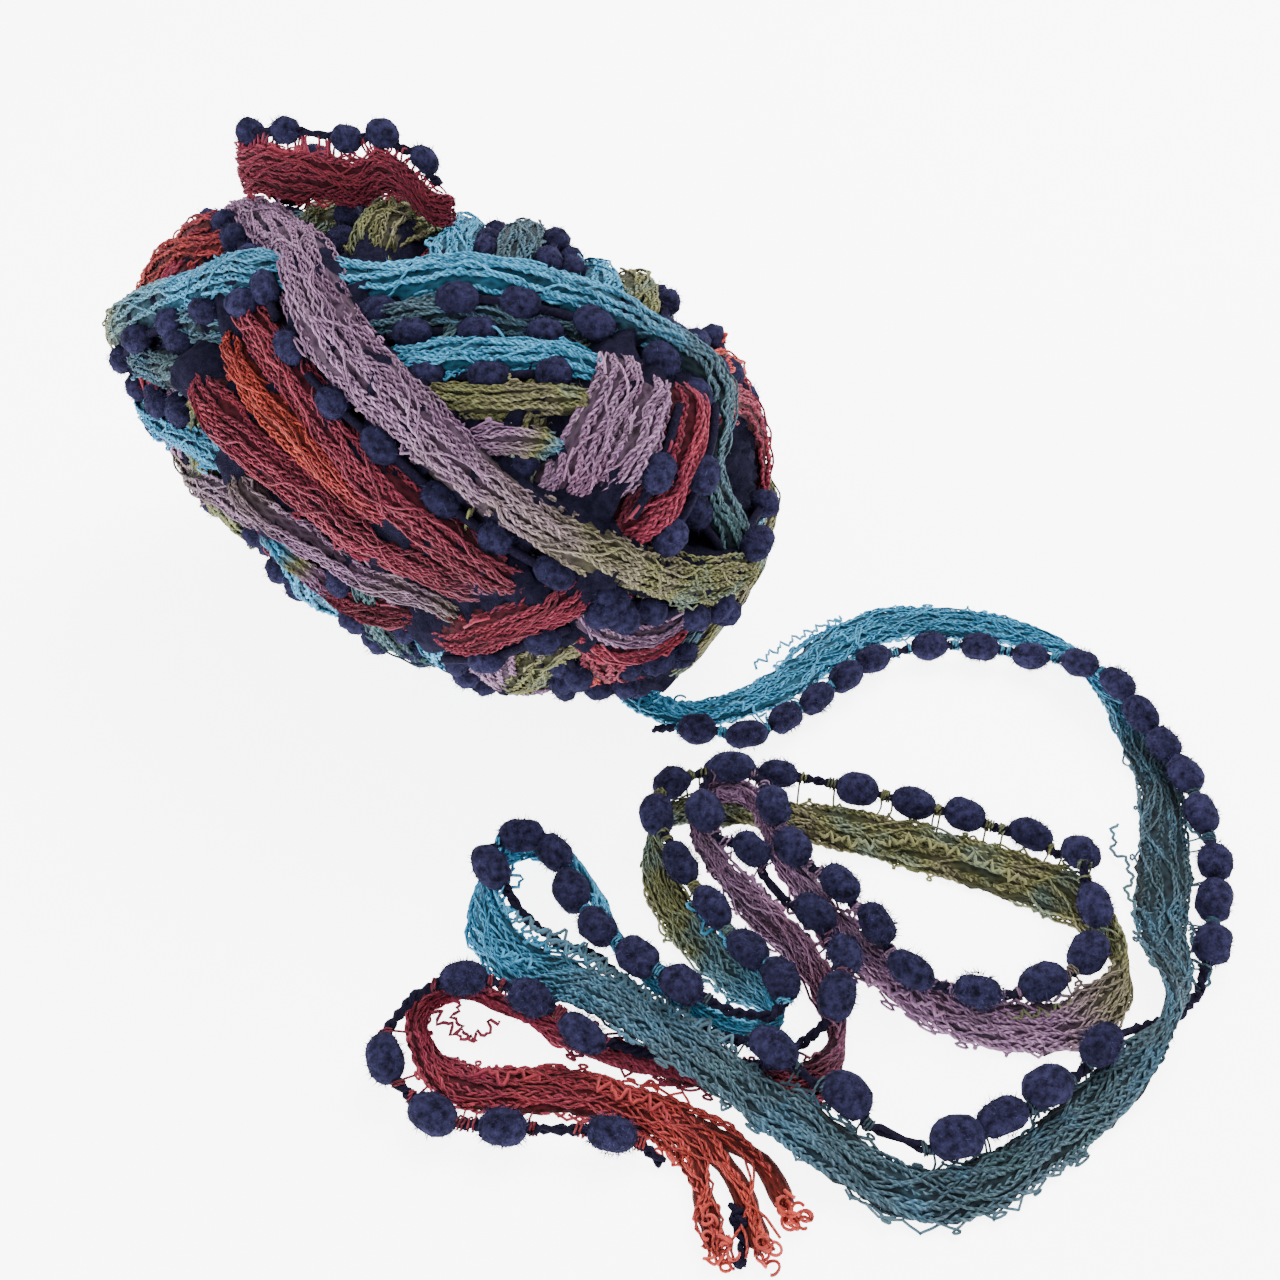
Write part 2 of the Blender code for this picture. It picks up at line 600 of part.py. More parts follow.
def build():
    clear_scene()
    collection = bpy.data.collections.new(COLLECTION)
    bpy.context.scene.collection.children.link(collection)
    _, ball_tree = wound_ball(collection)

    def table_top(points):
        return np.zeros(len(points))

    def ball_top(points):
        heights = []
        for x, y in np.asarray(points)[:, :2]:
            hit = ball_tree.ray_cast(Vector((x, y, 200.0)), Vector((0.0, 0.0, -1.0)))[0]
            heights.append(hit.z if hit else 0.0)
        return np.array(heights) + CLEAR

    loop = ribbon("standing_loop", ribbon_rings(LOOP, ball_top), CRIMSON, collection)[1]
    stations = string_stations(LOOP_STRING, ball_top, SMALL_POMPOM_RADIUS, SMALL_POMPOM_HALF_LENGTH)
    pompom_string("standing_loop_pompoms", stations, [loop, ball_tree], collection)
    tail = ribbon("tail_ribbon", ribbon_rings(TAIL, table_top), LIGHT_BLUE, collection)[1]
    stations = string_stations(TAIL_STRING, table_top, POMPOM_RADIUS, POMPOM_HALF_LENGTH)
    pompom_string("tail_pompoms", stations, [tail, ball_tree], collection)


build()
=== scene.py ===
"""A wound ball of pom pom yarn, its loose end lying in loops on a pale table, dressed over its solids.

Tables are in millimetres and degrees on the photograph's table, and MIDDLE brings them to the row's frame.
"""

import math
from collections import namedtuple

import bpy
import numpy as np
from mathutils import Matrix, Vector
from mathutils.bvhtree import BVHTree


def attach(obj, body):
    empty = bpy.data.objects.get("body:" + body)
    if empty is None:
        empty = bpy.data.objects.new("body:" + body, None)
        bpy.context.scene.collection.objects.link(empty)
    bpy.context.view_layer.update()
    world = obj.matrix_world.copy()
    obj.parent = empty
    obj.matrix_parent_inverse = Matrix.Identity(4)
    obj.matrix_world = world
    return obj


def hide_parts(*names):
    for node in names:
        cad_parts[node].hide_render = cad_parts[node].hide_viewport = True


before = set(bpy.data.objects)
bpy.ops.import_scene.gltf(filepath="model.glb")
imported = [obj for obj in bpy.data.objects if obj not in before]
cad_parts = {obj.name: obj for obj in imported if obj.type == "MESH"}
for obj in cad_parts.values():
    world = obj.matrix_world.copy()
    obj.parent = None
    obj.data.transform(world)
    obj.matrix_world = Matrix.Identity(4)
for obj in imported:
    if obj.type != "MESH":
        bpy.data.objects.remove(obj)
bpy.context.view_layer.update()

# The camera
# It stands in front of the table at the photograph's distance and looks down at 45 degrees.

MM = 0.001
MIDDLE = np.array([-1.81, -36.3, 0.0])
CAMERA_AT = np.array([0.0, -232.6, 232.6])
CAMERA_TILT = 45.0
LENS = 36.0
SENSOR_WIDTH = 36.0

camera_data = bpy.data.cameras.new("camera")
camera_data.lens = LENS
camera_data.sensor_width = SENSOR_WIDTH
camera_data.clip_start = 0.01
camera = bpy.data.objects.new("camera", camera_data)
camera.location = Vector((CAMERA_AT - MIDDLE) * MM)
camera.rotation_euler = (math.radians(CAMERA_TILT), 0.0, 0.0)
bpy.context.scene.collection.objects.link(camera)
bpy.context.scene.camera = camera

# The table and the light
# A white table top with a faint satin grain, under a wide soft light from behind on the right and the pale
# room around it. The top glows: painted light that brightens it and its shadows and lights the wool from
# below.

TABLE_REACH = 3.0
TABLE_WHITE = (0.88, 0.885, 0.895)
# The table's glow is painted light: the top emits light though it is no lamp.
TABLE_PAINTED_GLOW = (0.985, 0.99, 1.0)
TABLE_PAINTED_GLOW_STRENGTH = 6.0
SHEEN_ROUGHNESS = 0.45
ROOM_COLOUR = (0.95, 0.97, 1.0)
ROOM_STRENGTH = 1.45
LIGHTS_AIM = (0.0, 0.0, 0.03)

# Name, place in metres, width, power in watts and colour.
LIGHTS = (
    ("key_light", (0.35, 0.55, 0.85), 0.7, 24.0, (1.0, 0.985, 0.96)),
    ("fill_light", (-0.6, -0.5, 0.7), 0.9, 7.0, (0.96, 0.98, 1.0)),
)


def principled(name, colour, roughness, sheen=0.0, sheen_tint=(1.0, 1.0, 1.0), gloss=0.25):
    """A Principled material and its shader; constant values sit on the shader's own sockets."""
    material = bpy.data.materials.new(name)
    material.use_nodes = True
    shader = material.node_tree.nodes["Principled BSDF"]
    shader.inputs["Base Color"].default_value = (*colour, 1.0)
    shader.inputs["Roughness"].default_value = roughness
    shader.inputs["Specular IOR Level"].default_value = gloss
    shader.inputs["Sheen Weight"].default_value = sheen
    shader.inputs["Sheen Roughness"].default_value = SHEEN_ROUGHNESS
    shader.inputs["Sheen Tint"].default_value = (*sheen_tint, 1.0)
    return material, shader


def add_node(tree, kind, values=(), **settings):
    """A node of a tree, with its settings and its unlinked input values by name or place."""
    node = tree.nodes.new(kind)
    for name, value in settings.items():
        setattr(node, name, value)
    for name, value in dict(values).items():
        node.inputs[name].default_value = value
    return node


def wire(tree, *rows):
    """Links of a tree, a row each: a node, its output, the node that takes it, and the input there."""
    for giver, output, taker, socket in rows:
        tree.links.new(giver.outputs[output], taker.inputs[socket])


table_mesh = bpy.data.meshes.new("table_top")
table_corners = [(x * TABLE_REACH, y * TABLE_REACH, 0.0) for x, y in ((-1, -1), (1, -1), (1, 1), (-1, 1))]
table_mesh.from_pydata(table_corners, [], [(0, 1, 2, 3)])
table = bpy.data.objects.new("table_top", table_mesh)
bpy.context.scene.collection.objects.link(table)
table_paint, shader = principled("table_paint", TABLE_WHITE, roughness=0.6)
# Painted light: the table top glows.
shader.inputs["Emission Color"].default_value = (*TABLE_PAINTED_GLOW, 1.0)
shader.inputs["Emission Strength"].default_value = TABLE_PAINTED_GLOW_STRENGTH
tree = table_paint.node_tree
where = add_node(tree, "ShaderNodeTexCoord")
grain = add_node(tree, "ShaderNodeTexNoise", {"Scale": 900.0, "Detail": 2.0})
bump = add_node(tree, "ShaderNodeBump", {"Strength": 0.05, "Distance": 0.0002})
wire(tree, (where, "Object", grain, "Vector"), (grain, "Fac", bump, "Height"),
     (bump, "Normal", shader, "Normal"))
table_mesh.materials.append(table_paint)

world = bpy.data.worlds.new("pale_room")
world.use_nodes = True
world.node_tree.nodes["Background"].inputs["Color"].default_value = (*ROOM_COLOUR, 1.0)
world.node_tree.nodes["Background"].inputs["Strength"].default_value = ROOM_STRENGTH
bpy.context.scene.world = world

for name, place, width, power, colour in LIGHTS:
    light = bpy.data.lights.new(name, "AREA")
    light.size = width
    light.energy = power
    light.color = colour
    lamp = bpy.data.objects.new(name, light)
    lamp.location = place
    lamp.rotation_euler = (Vector(place) - Vector(LIGHTS_AIM)).to_track_quat("Z", "Y").to_euler()
    bpy.context.scene.collection.objects.link(lamp)

# The yarn's dye
# One wool ribbon dyed in long runs. Its place in the dye's sequence is the attribute "dye" on every thread:
# 0 orange-red, 1 crimson, 2 dark crimson, 3 lilac, 4 olive, 5 light blue, 6 dark teal, 7 green teal.

DYES = (
    (0.330, 0.040, 0.028),
    (0.172, 0.021, 0.040),
    (0.105, 0.017, 0.029),
    (0.215, 0.118, 0.205),
    (0.130, 0.130, 0.050),
    (0.050, 0.245, 0.410),
    (0.042, 0.073, 0.094),
    (0.030, 0.090, 0.070),
)
LAST_DYE = len(DYES) - 1.0
DYE_BLUR = 0.9
MOTTLING = 0.9
KNIT_PLIES = 11.0
KNIT_TURNS = 0.23


def new_group(name, inputs, output, kind):
    """A node group with float inputs and one output of a kind, and its two end nodes."""
    group = bpy.data.node_groups.new(name, "ShaderNodeTree")
    for label in inputs:
        group.interface.new_socket(label, in_out="INPUT", socket_type="NodeSocketFloat")
    group.interface.new_socket(output, in_out="OUTPUT", socket_type=kind)
    return group, add_node(group, "NodeGroupInput"), add_node(group, "NodeGroupOutput")


def dye_group():
    """Dyed wool: the dye's place, blurred a little by noise, picks the colour; each thread's shade, its own
    tone with painted light and shade, and a finer noise lighten or darken it."""
    group, given, out = new_group("dyed_wool", ("Strength",), "Color", "NodeSocketColor")
    where = add_node(group, "ShaderNodeTexCoord")
    dye = add_node(group, "ShaderNodeAttribute", attribute_name="dye")
    shade = add_node(group, "ShaderNodeAttribute", attribute_name="shade")
    cloudy = add_node(group, "ShaderNodeTexNoise", {"Scale": 110.0, "Detail": 2.0})
    fine = add_node(group, "ShaderNodeTexNoise", {"Scale": 700.0, "Detail": 3.0})
    drift = add_node(group, "ShaderNodeMath", {1: 0.5}, operation="SUBTRACT")
    blurred = add_node(group, "ShaderNodeMath", {1: DYE_BLUR}, operation="MULTIPLY_ADD")
    share = add_node(group, "ShaderNodeMath", {1: LAST_DYE}, operation="DIVIDE")
    ramp = add_node(group, "ShaderNodeValToRGB")
    stops = ramp.color_ramp.elements
    for place, colour in enumerate(DYES):
        stop = stops[place] if place < 2 else stops.new(place / LAST_DYE)
        stop.position = place / LAST_DYE
        stop.color = (*colour, 1.0)
    level = add_node(group, "ShaderNodeMath", {1: 0.5}, operation="SUBTRACT")
    mottle = add_node(group, "ShaderNodeMath", {1: MOTTLING}, operation="MULTIPLY_ADD")
    strong = add_node(group, "ShaderNodeMath", operation="MULTIPLY")
    product = add_node(group, "ShaderNodeVectorMath", operation="SCALE")
    wire(group, (where, "Object", cloudy, "Vector"), (cloudy, "Fac", drift, 0), (drift, 0, blurred, 0),
         (dye, "Fac", blurred, 2), (blurred, 0, share, 0), (share, 0, ramp, "Fac"))
    wire(group, (where, "Object", fine, "Vector"), (fine, "Fac", level, 0), (level, 0, mottle, 0),
         (shade, "Fac", mottle, 2), (mottle, 0, strong, 0), (given, "Strength", strong, 1))
    wire(group, (ramp, "Color", product, 0), (strong, 0, product, "Scale"),
         (product, "Vector", out, "Color"))
    return group


def ply_group():
    """Plies of a twisted thread: a sine of the run along the thread plus the turn around it, from the
    thread's own UV map "yarn" (turn, run in mm)."""
    group, given, out = new_group("twisted_plies", ("Turns per mm", "Plies"), "Height", "NodeSocketFloat")
    uv = add_node(group, "ShaderNodeUVMap", uv_map="yarn")
    parts = add_node(group, "ShaderNodeSeparateXYZ")
    run = add_node(group, "ShaderNodeMath", operation="MULTIPLY")
    turn = add_node(group, "ShaderNodeMath", operation="MULTIPLY_ADD")
    angle = add_node(group, "ShaderNodeMath", {1: math.tau}, operation="MULTIPLY")
    wave = add_node(group, "ShaderNodeMath", operation="SINE")
    height = add_node(group, "ShaderNodeMath", {1: 0.5, 2: 0.5}, operation="MULTIPLY_ADD")
    wire(group, (uv, "UV", parts, 0), (parts, "Y", run, 0), (given, "Turns per mm", run, 1),
         (parts, "X", turn, 0), (given, "Plies", turn, 1), (run, 0, turn, 2), (turn, 0, angle, 0),
         (angle, 0, wave, 0), (wave, 0, height, 0), (height, 0, out, "Height"))
    return group


dyed_wool, twisted_plies = dye_group(), ply_group()


def wool_material(name, strength, turns=(), plies=2.0, depth=0.0002):
    """Dyed wool: the dye's colour, with painted shade between the plies, over the bumps of the plies and the
    fibres.
    Plies that turn both ways are the crossing stitches of knitted wool."""
    material, shader = principled(name, (0.5, 0.5, 0.5), roughness=0.9, sheen=0.06,
                                  sheen_tint=(1.0, 0.95, 0.95), gloss=0.08)
    tree = material.node_tree
    dye = add_node(tree, "ShaderNodeGroup", {"Strength": strength}, node_tree=dyed_wool)
    where = add_node(tree, "ShaderNodeTexCoord")
    fibres = add_node(tree, "ShaderNodeTexNoise", {"Scale": 2600.0, "Detail": 2.0})
    bump = add_node(tree, "ShaderNodeBump", {"Strength": 0.6, "Distance": depth})
    wire(tree, (where, "Object", fibres, "Vector"), (bump, "Normal", shader, "Normal"))
    heights = []
    for pace in turns:
        values = {"Turns per mm": pace, "Plies": plies}
        heights.append((add_node(tree, "ShaderNodeGroup", values, node_tree=twisted_plies), "Height"))
    if not heights:
        wire(tree, (dye, "Color", shader, "Base Color"), (fibres, "Fac", bump, "Height"))
        return material
    if len(heights) == 2:
        higher = add_node(tree, "ShaderNodeMath", operation="MAXIMUM")
        wire(tree, (*heights[0], higher, 0), (*heights[1], higher, 1))
        heights = [(higher, 0)]
    # Painted shade: the colour is darker in the grooves between the plies.
    dark = add_node(tree, "ShaderNodeMath", {1: 0.7, 2: 0.5}, operation="MULTIPLY_ADD")
    shaded = add_node(tree, "ShaderNodeVectorMath", operation="SCALE")
    both = add_node(tree, "ShaderNodeMath", {1: 0.35}, operation="MULTIPLY_ADD")
    wire(tree, (*heights[0], dark, 0), (dye, "Color", shaded, 0), (dark, 0, shaded, "Scale"),
         (shaded, "Vector", shader, "Base Color"))
    wire(tree, (fibres, "Fac", both, 0), (*heights[0], both, 2), (both, 0, bump, "Height"))
    return material


thread_wool = wool_material("dyed_thread", strength=1.0, turns=(0.7,))
# The insides take a fifth of the dye's strength: painted shade of the deeper wool under the outer threads.
inner_wool_painted_shade = wool_material("knitted_inside_painted_shade", strength=0.2, turns=(KNIT_TURNS, -KNIT_TURNS),
                           plies=KNIT_PLIES, depth=0.0006)
fuzz_wool = wool_material("dyed_fuzz", strength=1.15)

# The loose end's ribbon
# The mesh ribbon of the loose end: chain-stitched wool cords side by side, gathered so that it lies as a
# soft strip 6 to 19 mm wide. It lies on the table in loops, on edge at its tight turns, with a frayed tip.

# Columns: x, y, rise above the table, turn of its string edge (0 level on the left, 90 up), width.
TAIL = (
    (20.0, -152.0, 0.0, 0, 19),
    (16.0, -139.0, 0.0, 0, 17),
    (7.0, -128.5, 0.0, 0, 11),
    (-12.0, -122.5, 0.0, 0, 10),
    (-33.0, -121.5, 0.0, 8, 10),
    (-41.5, -114.0, 0.0, 55, 8),
    (-43.0, -106.0, 0.0, 80, 7),
    (-36.0, -102.0, 0.0, 95, 8),
    (-22.0, -107.0, 0.0, 95, 7),
    (-10.0, -112.5, 0.0, 20, 6),
    (0.0, -115.5, 0.0, 0, 7),
    (10.0, -117.5, 0.0, 0, 8),
    (24.0, -121.0, 0.0, 0, 9),
    (34.5, -119.5, 0.0, 45, 9),
    (38.0, -111.5, 0.0, 95, 9),
    (34.0, -96.5, 0.0, 120, 9),
    (22.5, -82.0, 1.0, 115, 9),
    (13.5, -69.0, 3.8, 100, 8),
    (13.0, -59.5, 4.6, 90, 7),
    (20.0, -55.0, 4.6, 90, 7),
    (26.5, -60.0, 4.6, 85, 7),
    (30.5, -71.0, 2.0, 75, 8),
    (41.5, -89.5, 0.0, 50, 9),
    (60.0, -105.0, 0.0, 22, 10),
    (79.0, -109.5, 0.0, 18, 11),
    (93.0, -104.0, 0.0, 35, 11),
    (97.0, -93.0, 0.0, 90, 8),
    (89.5, -79.5, 0.0, 150, 12),
    (67.0, -68.5, 0.0, 172, 13),
    (42.0, -60.5, 0.0, 175, 11),
    (17.0, -55.5, 0.0, 175, 8),
    (4.5, -60.5, 0.0, 110, 6),
    (3.5, -73.5, 0.0, 40, 8),
    (10.5, -88.5, 0.0, 30, 10),
    (20.5, -99.0, 0.0, 30, 10),
    (27.0, -106.0, 0.5, 85, 6),
    (23.5, -110.5, 1.0, 100, 6),
    (14.0, -108.0, 1.0, 95, 6),
    (3.5, -101.0, 0.5, 85, 7),
    (-5.0, -91.0, 0.5, 70, 8),
    (-10.0, -79.5, 0.5, 70, 9),
    (-17.5, -70.0, 0.5, 85, 8),
    (-26.5, -68.5, 0.5, 90, 8),
    (-32.0, -76.0, 0.5, 70, 10),
    (-32.0, -87.0, 0.0, 50, 13),
    (-24.0, -96.5, 0.5, 25, 12),
    (-10.5, -104.0, 6.0, 3, 10),
    (7.5, -115.5, 6.5, 0, 10),
    (26.0, -129.0, 6.0, 0, 11),
    (47.0, -141.0, 0.0, 5, 11),
    (62.0, -139.5, 0.0, 12, 10),
    (80.0, -128.5, 0.0, 12, 10),
    (93.0, -118.5, 0.8, -10, 10),
    (102.5, -109.0, 2.8, -90, 8),
    (106.5, -98.0, 1.5, -150, 11),
    (109.5, -84.0, 0.0, -180, 13),
    (115.0, -66.0, 0.0, -182, 12),
    (118.8, -48.0, 0.0, -183, 10),
    (117.0, -33.0, 0.0, -195, 9),
    (113.0, -21.0, 0.0, -265, 6),
    (108.0, -8.5, 0.0, -320, 10),
    (98.0, -0.5, 0.0, -345, 12),
    (82.0, 4.0, 0.0, -352, 14),
    (63.0, 3.5, 0.0, -352, 14),
    (47.0, -6.5, 0.0, -350, 14),
    (33.0, -19.5, 0.0, -345, 13),
    (18.0, -26.5, 0.0, -345, 11),
    (5.0, -25.5, 0.0, -350, 9),
    (-3.0, -19.0, 0.0, -352, 8),
)

# Run along the loose end from its tip in mm, and the dye there.
TAIL_DYES = (
    (0, 0.1), (28, 0.25), (50, 0.8), (85, 1.0), (130, 1.2), (165, 2.0), (195, 2.5), (220, 3.0),
    (335, 3.0), (350, 3.8), (362, 4.0), (498, 4.0), (520, 4.9), (628, 5.0), (650, 5.8), (665, 6.0),
    (855, 6.0), (880, 5.2), (1020, 5.0),
)

RIBBON_THICKNESS = 3.2
RIBBON_STATION = 5.7
ROUTE_STEPS = 24
TAIL_CORDS = 8
TAIL_STRAYS = 12
STITCH_RUN = 6.8
THREAD_STEP = 0.9
THREAD_RADIUS = 0.39
STRAY_RADIUS = 0.33
CORD_HALF_WIDTH = 0.62
CORD_HALF_DEPTH = 0.36
INSIDE_SIDES = 8
SKIM = 0.05
LOOSE_HEIGHT = 0.35
BOW_SPAN = 4.2
# Painted shade and light on plaited threads, by how deep each lies in its cord.
DIP_SHADE = 0.38
FIBRE_SHADE = 1.1
NEARLY_UP = (0.02, 0.03, 1.0)

# Where a ribbon lies: its middle line, its directions across (to the string's edge) and through, its half
# width and the run along it.
Lie = namedtuple("Lie", "middle across through half run")


def unit(vectors):
    """Each vector over its own length."""
    return vectors / np.maximum(np.linalg.norm(vectors, axis=-1, keepdims=True), 1e-9)


def run_along(line):
    """Length from the start of a line to each of its points."""
    return np.concatenate([[0.0], np.cumsum(np.linalg.norm(np.diff(line, axis=0), axis=1))])


def along_line(at, run, line):
    """Points of a line, or rows of other values along it, at given runs."""
    return np.stack([np.interp(at, run, column) for column in line.T], axis=-1)


def smooth_route(rows, spacing):
    """The Catmull-Rom curve through the rows, at even steps of its first three columns' length, and the
    place among the rows and the run of each step."""
    rows = np.asarray(rows, float)
    ends = np.vstack([2 * rows[0] - rows[1], rows, 2 * rows[-1] - rows[-2]])
    t = np.linspace(0.0, 1.0, ROUTE_STEPS, endpoint=False)[None, :, None]
    a, b, c, d = (ends[i:len(ends) - 3 + i, None] for i in range(4))
    fine = 0.5 * (2 * b + (c - a) * t + (2 * a - 5 * b + 4 * c - d) * t**2 + (3 * b - a - 3 * c + d) * t**3)
    fine = np.vstack([fine.reshape(-1, rows.shape[1]), rows[-1:]])
    place = np.minimum(np.arange(len(fine)) / ROUTE_STEPS, len(rows) - 1.0)
    run = run_along(fine[:, :3])
    at = np.linspace(0.0, run[-1], max(int(round(run[-1] / spacing)), 2) + 1)
    return along_line(at, run, fine), np.interp(at, run, place), at


def frames(middle, turn):
    """Across and through directions along a ribbon, turned from level by turn degrees."""
    along = unit(np.gradient(middle, axis=0) * [1.0, 1.0, 0.0])
    left = np.stack([-along[:, 1], along[:, 0], np.zeros(len(along))], axis=1)
    up = np.array([0.0, 0.0, 1.0])
    angle = np.radians(turn)[:, None]
    return np.cos(angle) * left + np.sin(angle) * up, np.cos(angle) * up - np.sin(angle) * left


def section(width):
    """The solid's flat oval, as (across, through) pairs."""
    half, thin = 0.5 * width, 0.5 * RIBBON_THICKNESS
    top = [(half, 0.0), (0.86 * half, 0.62 * thin), (0.45 * half, thin), (-0.45 * half, thin)]
    top += [(-0.86 * half, 0.62 * thin)]
    return np.array(top + [(-a, -b) for a, b in top])


def ribbon_lie(rows, floor):
    """The lie of a ribbon set down on a floor at its lowest point."""
    stations = [(x, y, 0.0, rise, turn, width) for x, y, rise, turn, width in rows]
    table, _, _ = smooth_route(stations, RIBBON_STATION)
    across, through = frames(table[:, :3], table[:, 4])
    flat = np.array([section(width) for width in table[:, 5]])
    rings = table[:, None, :3] + flat[:, :, :1] * across[:, None] + flat[:, :, 1:] * through[:, None]
    ground = floor(rings.reshape(-1, 3)).reshape(rings.shape[:2])
    table[:, 2] = (ground - rings[:, :, 2]).max(axis=1) + np.maximum(table[:, 3], 0.0)
    fine, _, run = smooth_route(table[:, [0, 1, 2, 4, 5]], THREAD_STEP)
    return Lie(fine[:, :3], *frames(fine[:, :3], fine[:, 3]), 0.5 * fine[:, 4], run)


def every_other(lie):
    """A lie at every other of its points."""
    return Lie(*(values[::2] for values in lie))


def wander(dice, count, run, waves):
    """Smooth chance courses (count, n) along a run: sums of sines of the given (wavelength, reach), each
    with its own phase and pace."""
    total = np.zeros((count, len(run)))
    for length, reach in waves:
        phase = dice.uniform(0.0, math.tau, (count, 1))
        pace = dice.uniform(0.8, 1.25, (count, 1))
        total += reach * np.sin(math.tau * pace * run / length + phase)
    return total


def plait(dice, count, run, stitch=STITCH_RUN, size=1.0):
    """Offsets (count, 3, n) across and through of three threads plaited into each of count cords. A thread
    stands at (sin t, sin 2t), t one third of a turn after the thread before it, some stitches slacker."""
    phase = dice.uniform(0.0, math.tau, (count, 1, 1)) + math.tau * np.arange(3)[None, :, None] / 3.0
    t = math.tau * run / stitch + phase + wander(dice, count, run, ((23.0, 0.6),))[:, None]
    slack = 1.0 + wander(dice, 3 * count, run, ((19.0, 0.16), (7.0, 0.14))).reshape(count, 3, -1)
    return size * CORD_HALF_WIDTH * slack * np.sin(t), size * CORD_HALF_DEPTH * slack * np.sin(2.0 * t)


def off_table(points, height):
    """The points, lifted in place to at least a height above the table."""
    points[..., 2] = np.maximum(points[..., 2], height)
    return points


def tubes(lines, radius, reference, dye, shade, sides=3, keep=True):
    """A batch of tubes along many lines (m, n, 3) at once: the ring at a point is the point plus radius times
    (cos t * side + sin t * up), with side square to the line and the reference. The radius is one value, or
    given for every line, point and side."""
    heading = unit(np.gradient(lines, axis=1))
    side = unit(np.cross(heading, np.broadcast_to(reference, lines.shape)))
    up = np.cross(side, heading)
    t = math.tau * np.arange(sides) / sides
    ring = np.cos(t)[:, None] * side[:, :, None] + np.sin(t)[:, None] * up[:, :, None]
    radius = np.broadcast_to(radius, ring.shape[:3])
    return skin(lines[:, :, None] + radius[..., None] * ring, dye, shade, keep)


def skin(rings, dye, shade, keep=True):
    """A batch of closed tubes over rings (m, n, sides, 3), which turn clockwise seen along the tube. Points
    not in keep are left out, and each run of kept points is closed at both ends. Dye, shade and keep are one
    value, or spread over (m, n). A batch is points, faces, (turn, run) corners, and each point's dye and
    shade."""
    m, n, sides = rings.shape[:3]
    points, lines = rings.reshape(-1, 3), rings.mean(axis=2)
    keep = np.broadcast_to(keep, (m, n))
    keep = keep & (np.pad(keep, ((0, 0), (0, 1)))[:, 1:] | np.pad(keep, ((0, 0), (1, 0)))[:, :-1])
    spans = keep[:, :-1] & keep[:, 1:]
    index = np.arange(m * n * sides).reshape(m, n, sides)
    near, far = index[:, :-1], index[:, 1:]
    quads = np.stack([far, np.roll(far, -1, 2), np.roll(near, -1, 2), near], axis=-1)[spans].reshape(-1, 4)
    length = np.linalg.norm(np.diff(lines, axis=1), axis=2)
    run = np.concatenate([np.zeros((m, 1)), np.cumsum(length, axis=1)], axis=1)
    turn = np.broadcast_to(np.arange(sides) / sides, (m, n - 1, sides))
    low = np.broadcast_to(run[:, :-1, None], turn.shape)
    high = np.broadcast_to(run[:, 1:, None], turn.shape)
    step = 1.0 / sides
    corners = np.stack([turn, high, turn + step, high, turn + step, low, turn, low], axis=-1)
    first = keep & ~np.pad(keep, ((0, 0), (1, 0)))[:, :-1]
    last = keep & ~np.pad(keep, ((0, 0), (0, 1)))[:, 1:]
    caps = np.vstack([index[first], index[last][:, ::-1]])
    corners = np.vstack([corners[spans].reshape(-1, 2), np.zeros((caps.size, 2))])
    used = np.repeat(keep.reshape(-1), sides)
    number = np.cumsum(used) - 1
    where = np.divmod(np.flatnonzero(used) // sides, n)
    dye, shade = (np.broadcast_to(values, (m, n))[where] for values in (dye, shade))
    return points[used], [number[quads], number[caps]], corners, dye, shade


def ribbon_inside(lie, half, thin, dye, keep=True):
    """The soft inside of a ribbon, an oval tube: middle + half cos t across + thin sin t through."""
    handed = (np.cross(lie.across, lie.through) * np.gradient(lie.middle, axis=0)).sum() > 0.0
    t = math.tau * np.arange(INSIDE_SIDES) / INSIDE_SIDES * (-1.0 if handed else 1.0)
    half, thin = (np.broadcast_to(value, len(lie.middle))[:, None, None] for value in (half, thin))
    rings = lie.middle[:, None] + half * np.cos(t)[:, None] * lie.across[:, None]
    rings = rings + thin * np.sin(t)[:, None] * lie.through[:, None]
    return skin(rings[None], dye, 1.0, keep)


def woollen(name, batches, material):
    """One object from batches, moved to the row's frame in metres, that rides the ball's one body."""
    offset, points, loops, sizes, corners, dyes, shades = 0, [], [], [], [], [], []
    for spots, faces, uv, dye, shade in batches:
        points.append(spots)
        for some in faces:
            loops.append(some.ravel() + offset)
            sizes.append(np.full(len(some), some.shape[1]))
        corners.append(uv)
        dyes.append(np.broadcast_to(dye, len(spots)))
        shades.append(np.broadcast_to(shade, len(spots)))
        offset += len(spots)
    points = (np.vstack(points) - MIDDLE) * MM
    loops, sizes = np.concatenate(loops).astype(np.int32), np.concatenate(sizes)
    mesh = bpy.data.meshes.new(name)
    mesh.vertices.add(len(points))
    mesh.vertices.foreach_set("co", points.astype(np.float32).ravel())
    mesh.loops.add(len(loops))
    mesh.loops.foreach_set("vertex_index", loops)
    mesh.polygons.add(len(sizes))
    mesh.polygons.foreach_set("loop_start", (np.cumsum(sizes) - sizes).astype(np.int32))
    mesh.update(calc_edges=True)
    mesh.uv_layers.new(name="yarn").data.foreach_set("uv", np.vstack(corners).astype(np.float32).ravel())
    for label, values in (("dye", dyes), ("shade", shades)):
        data = mesh.attributes.new(label, "FLOAT", "POINT").data
        data.foreach_set("value", np.concatenate(values).astype(np.float32))
    mesh.shade_smooth()
    mesh.materials.append(material)
    thing = bpy.data.objects.new(name, mesh)
    bpy.context.scene.collection.objects.link(thing)
    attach(thing, "root")
    return thing


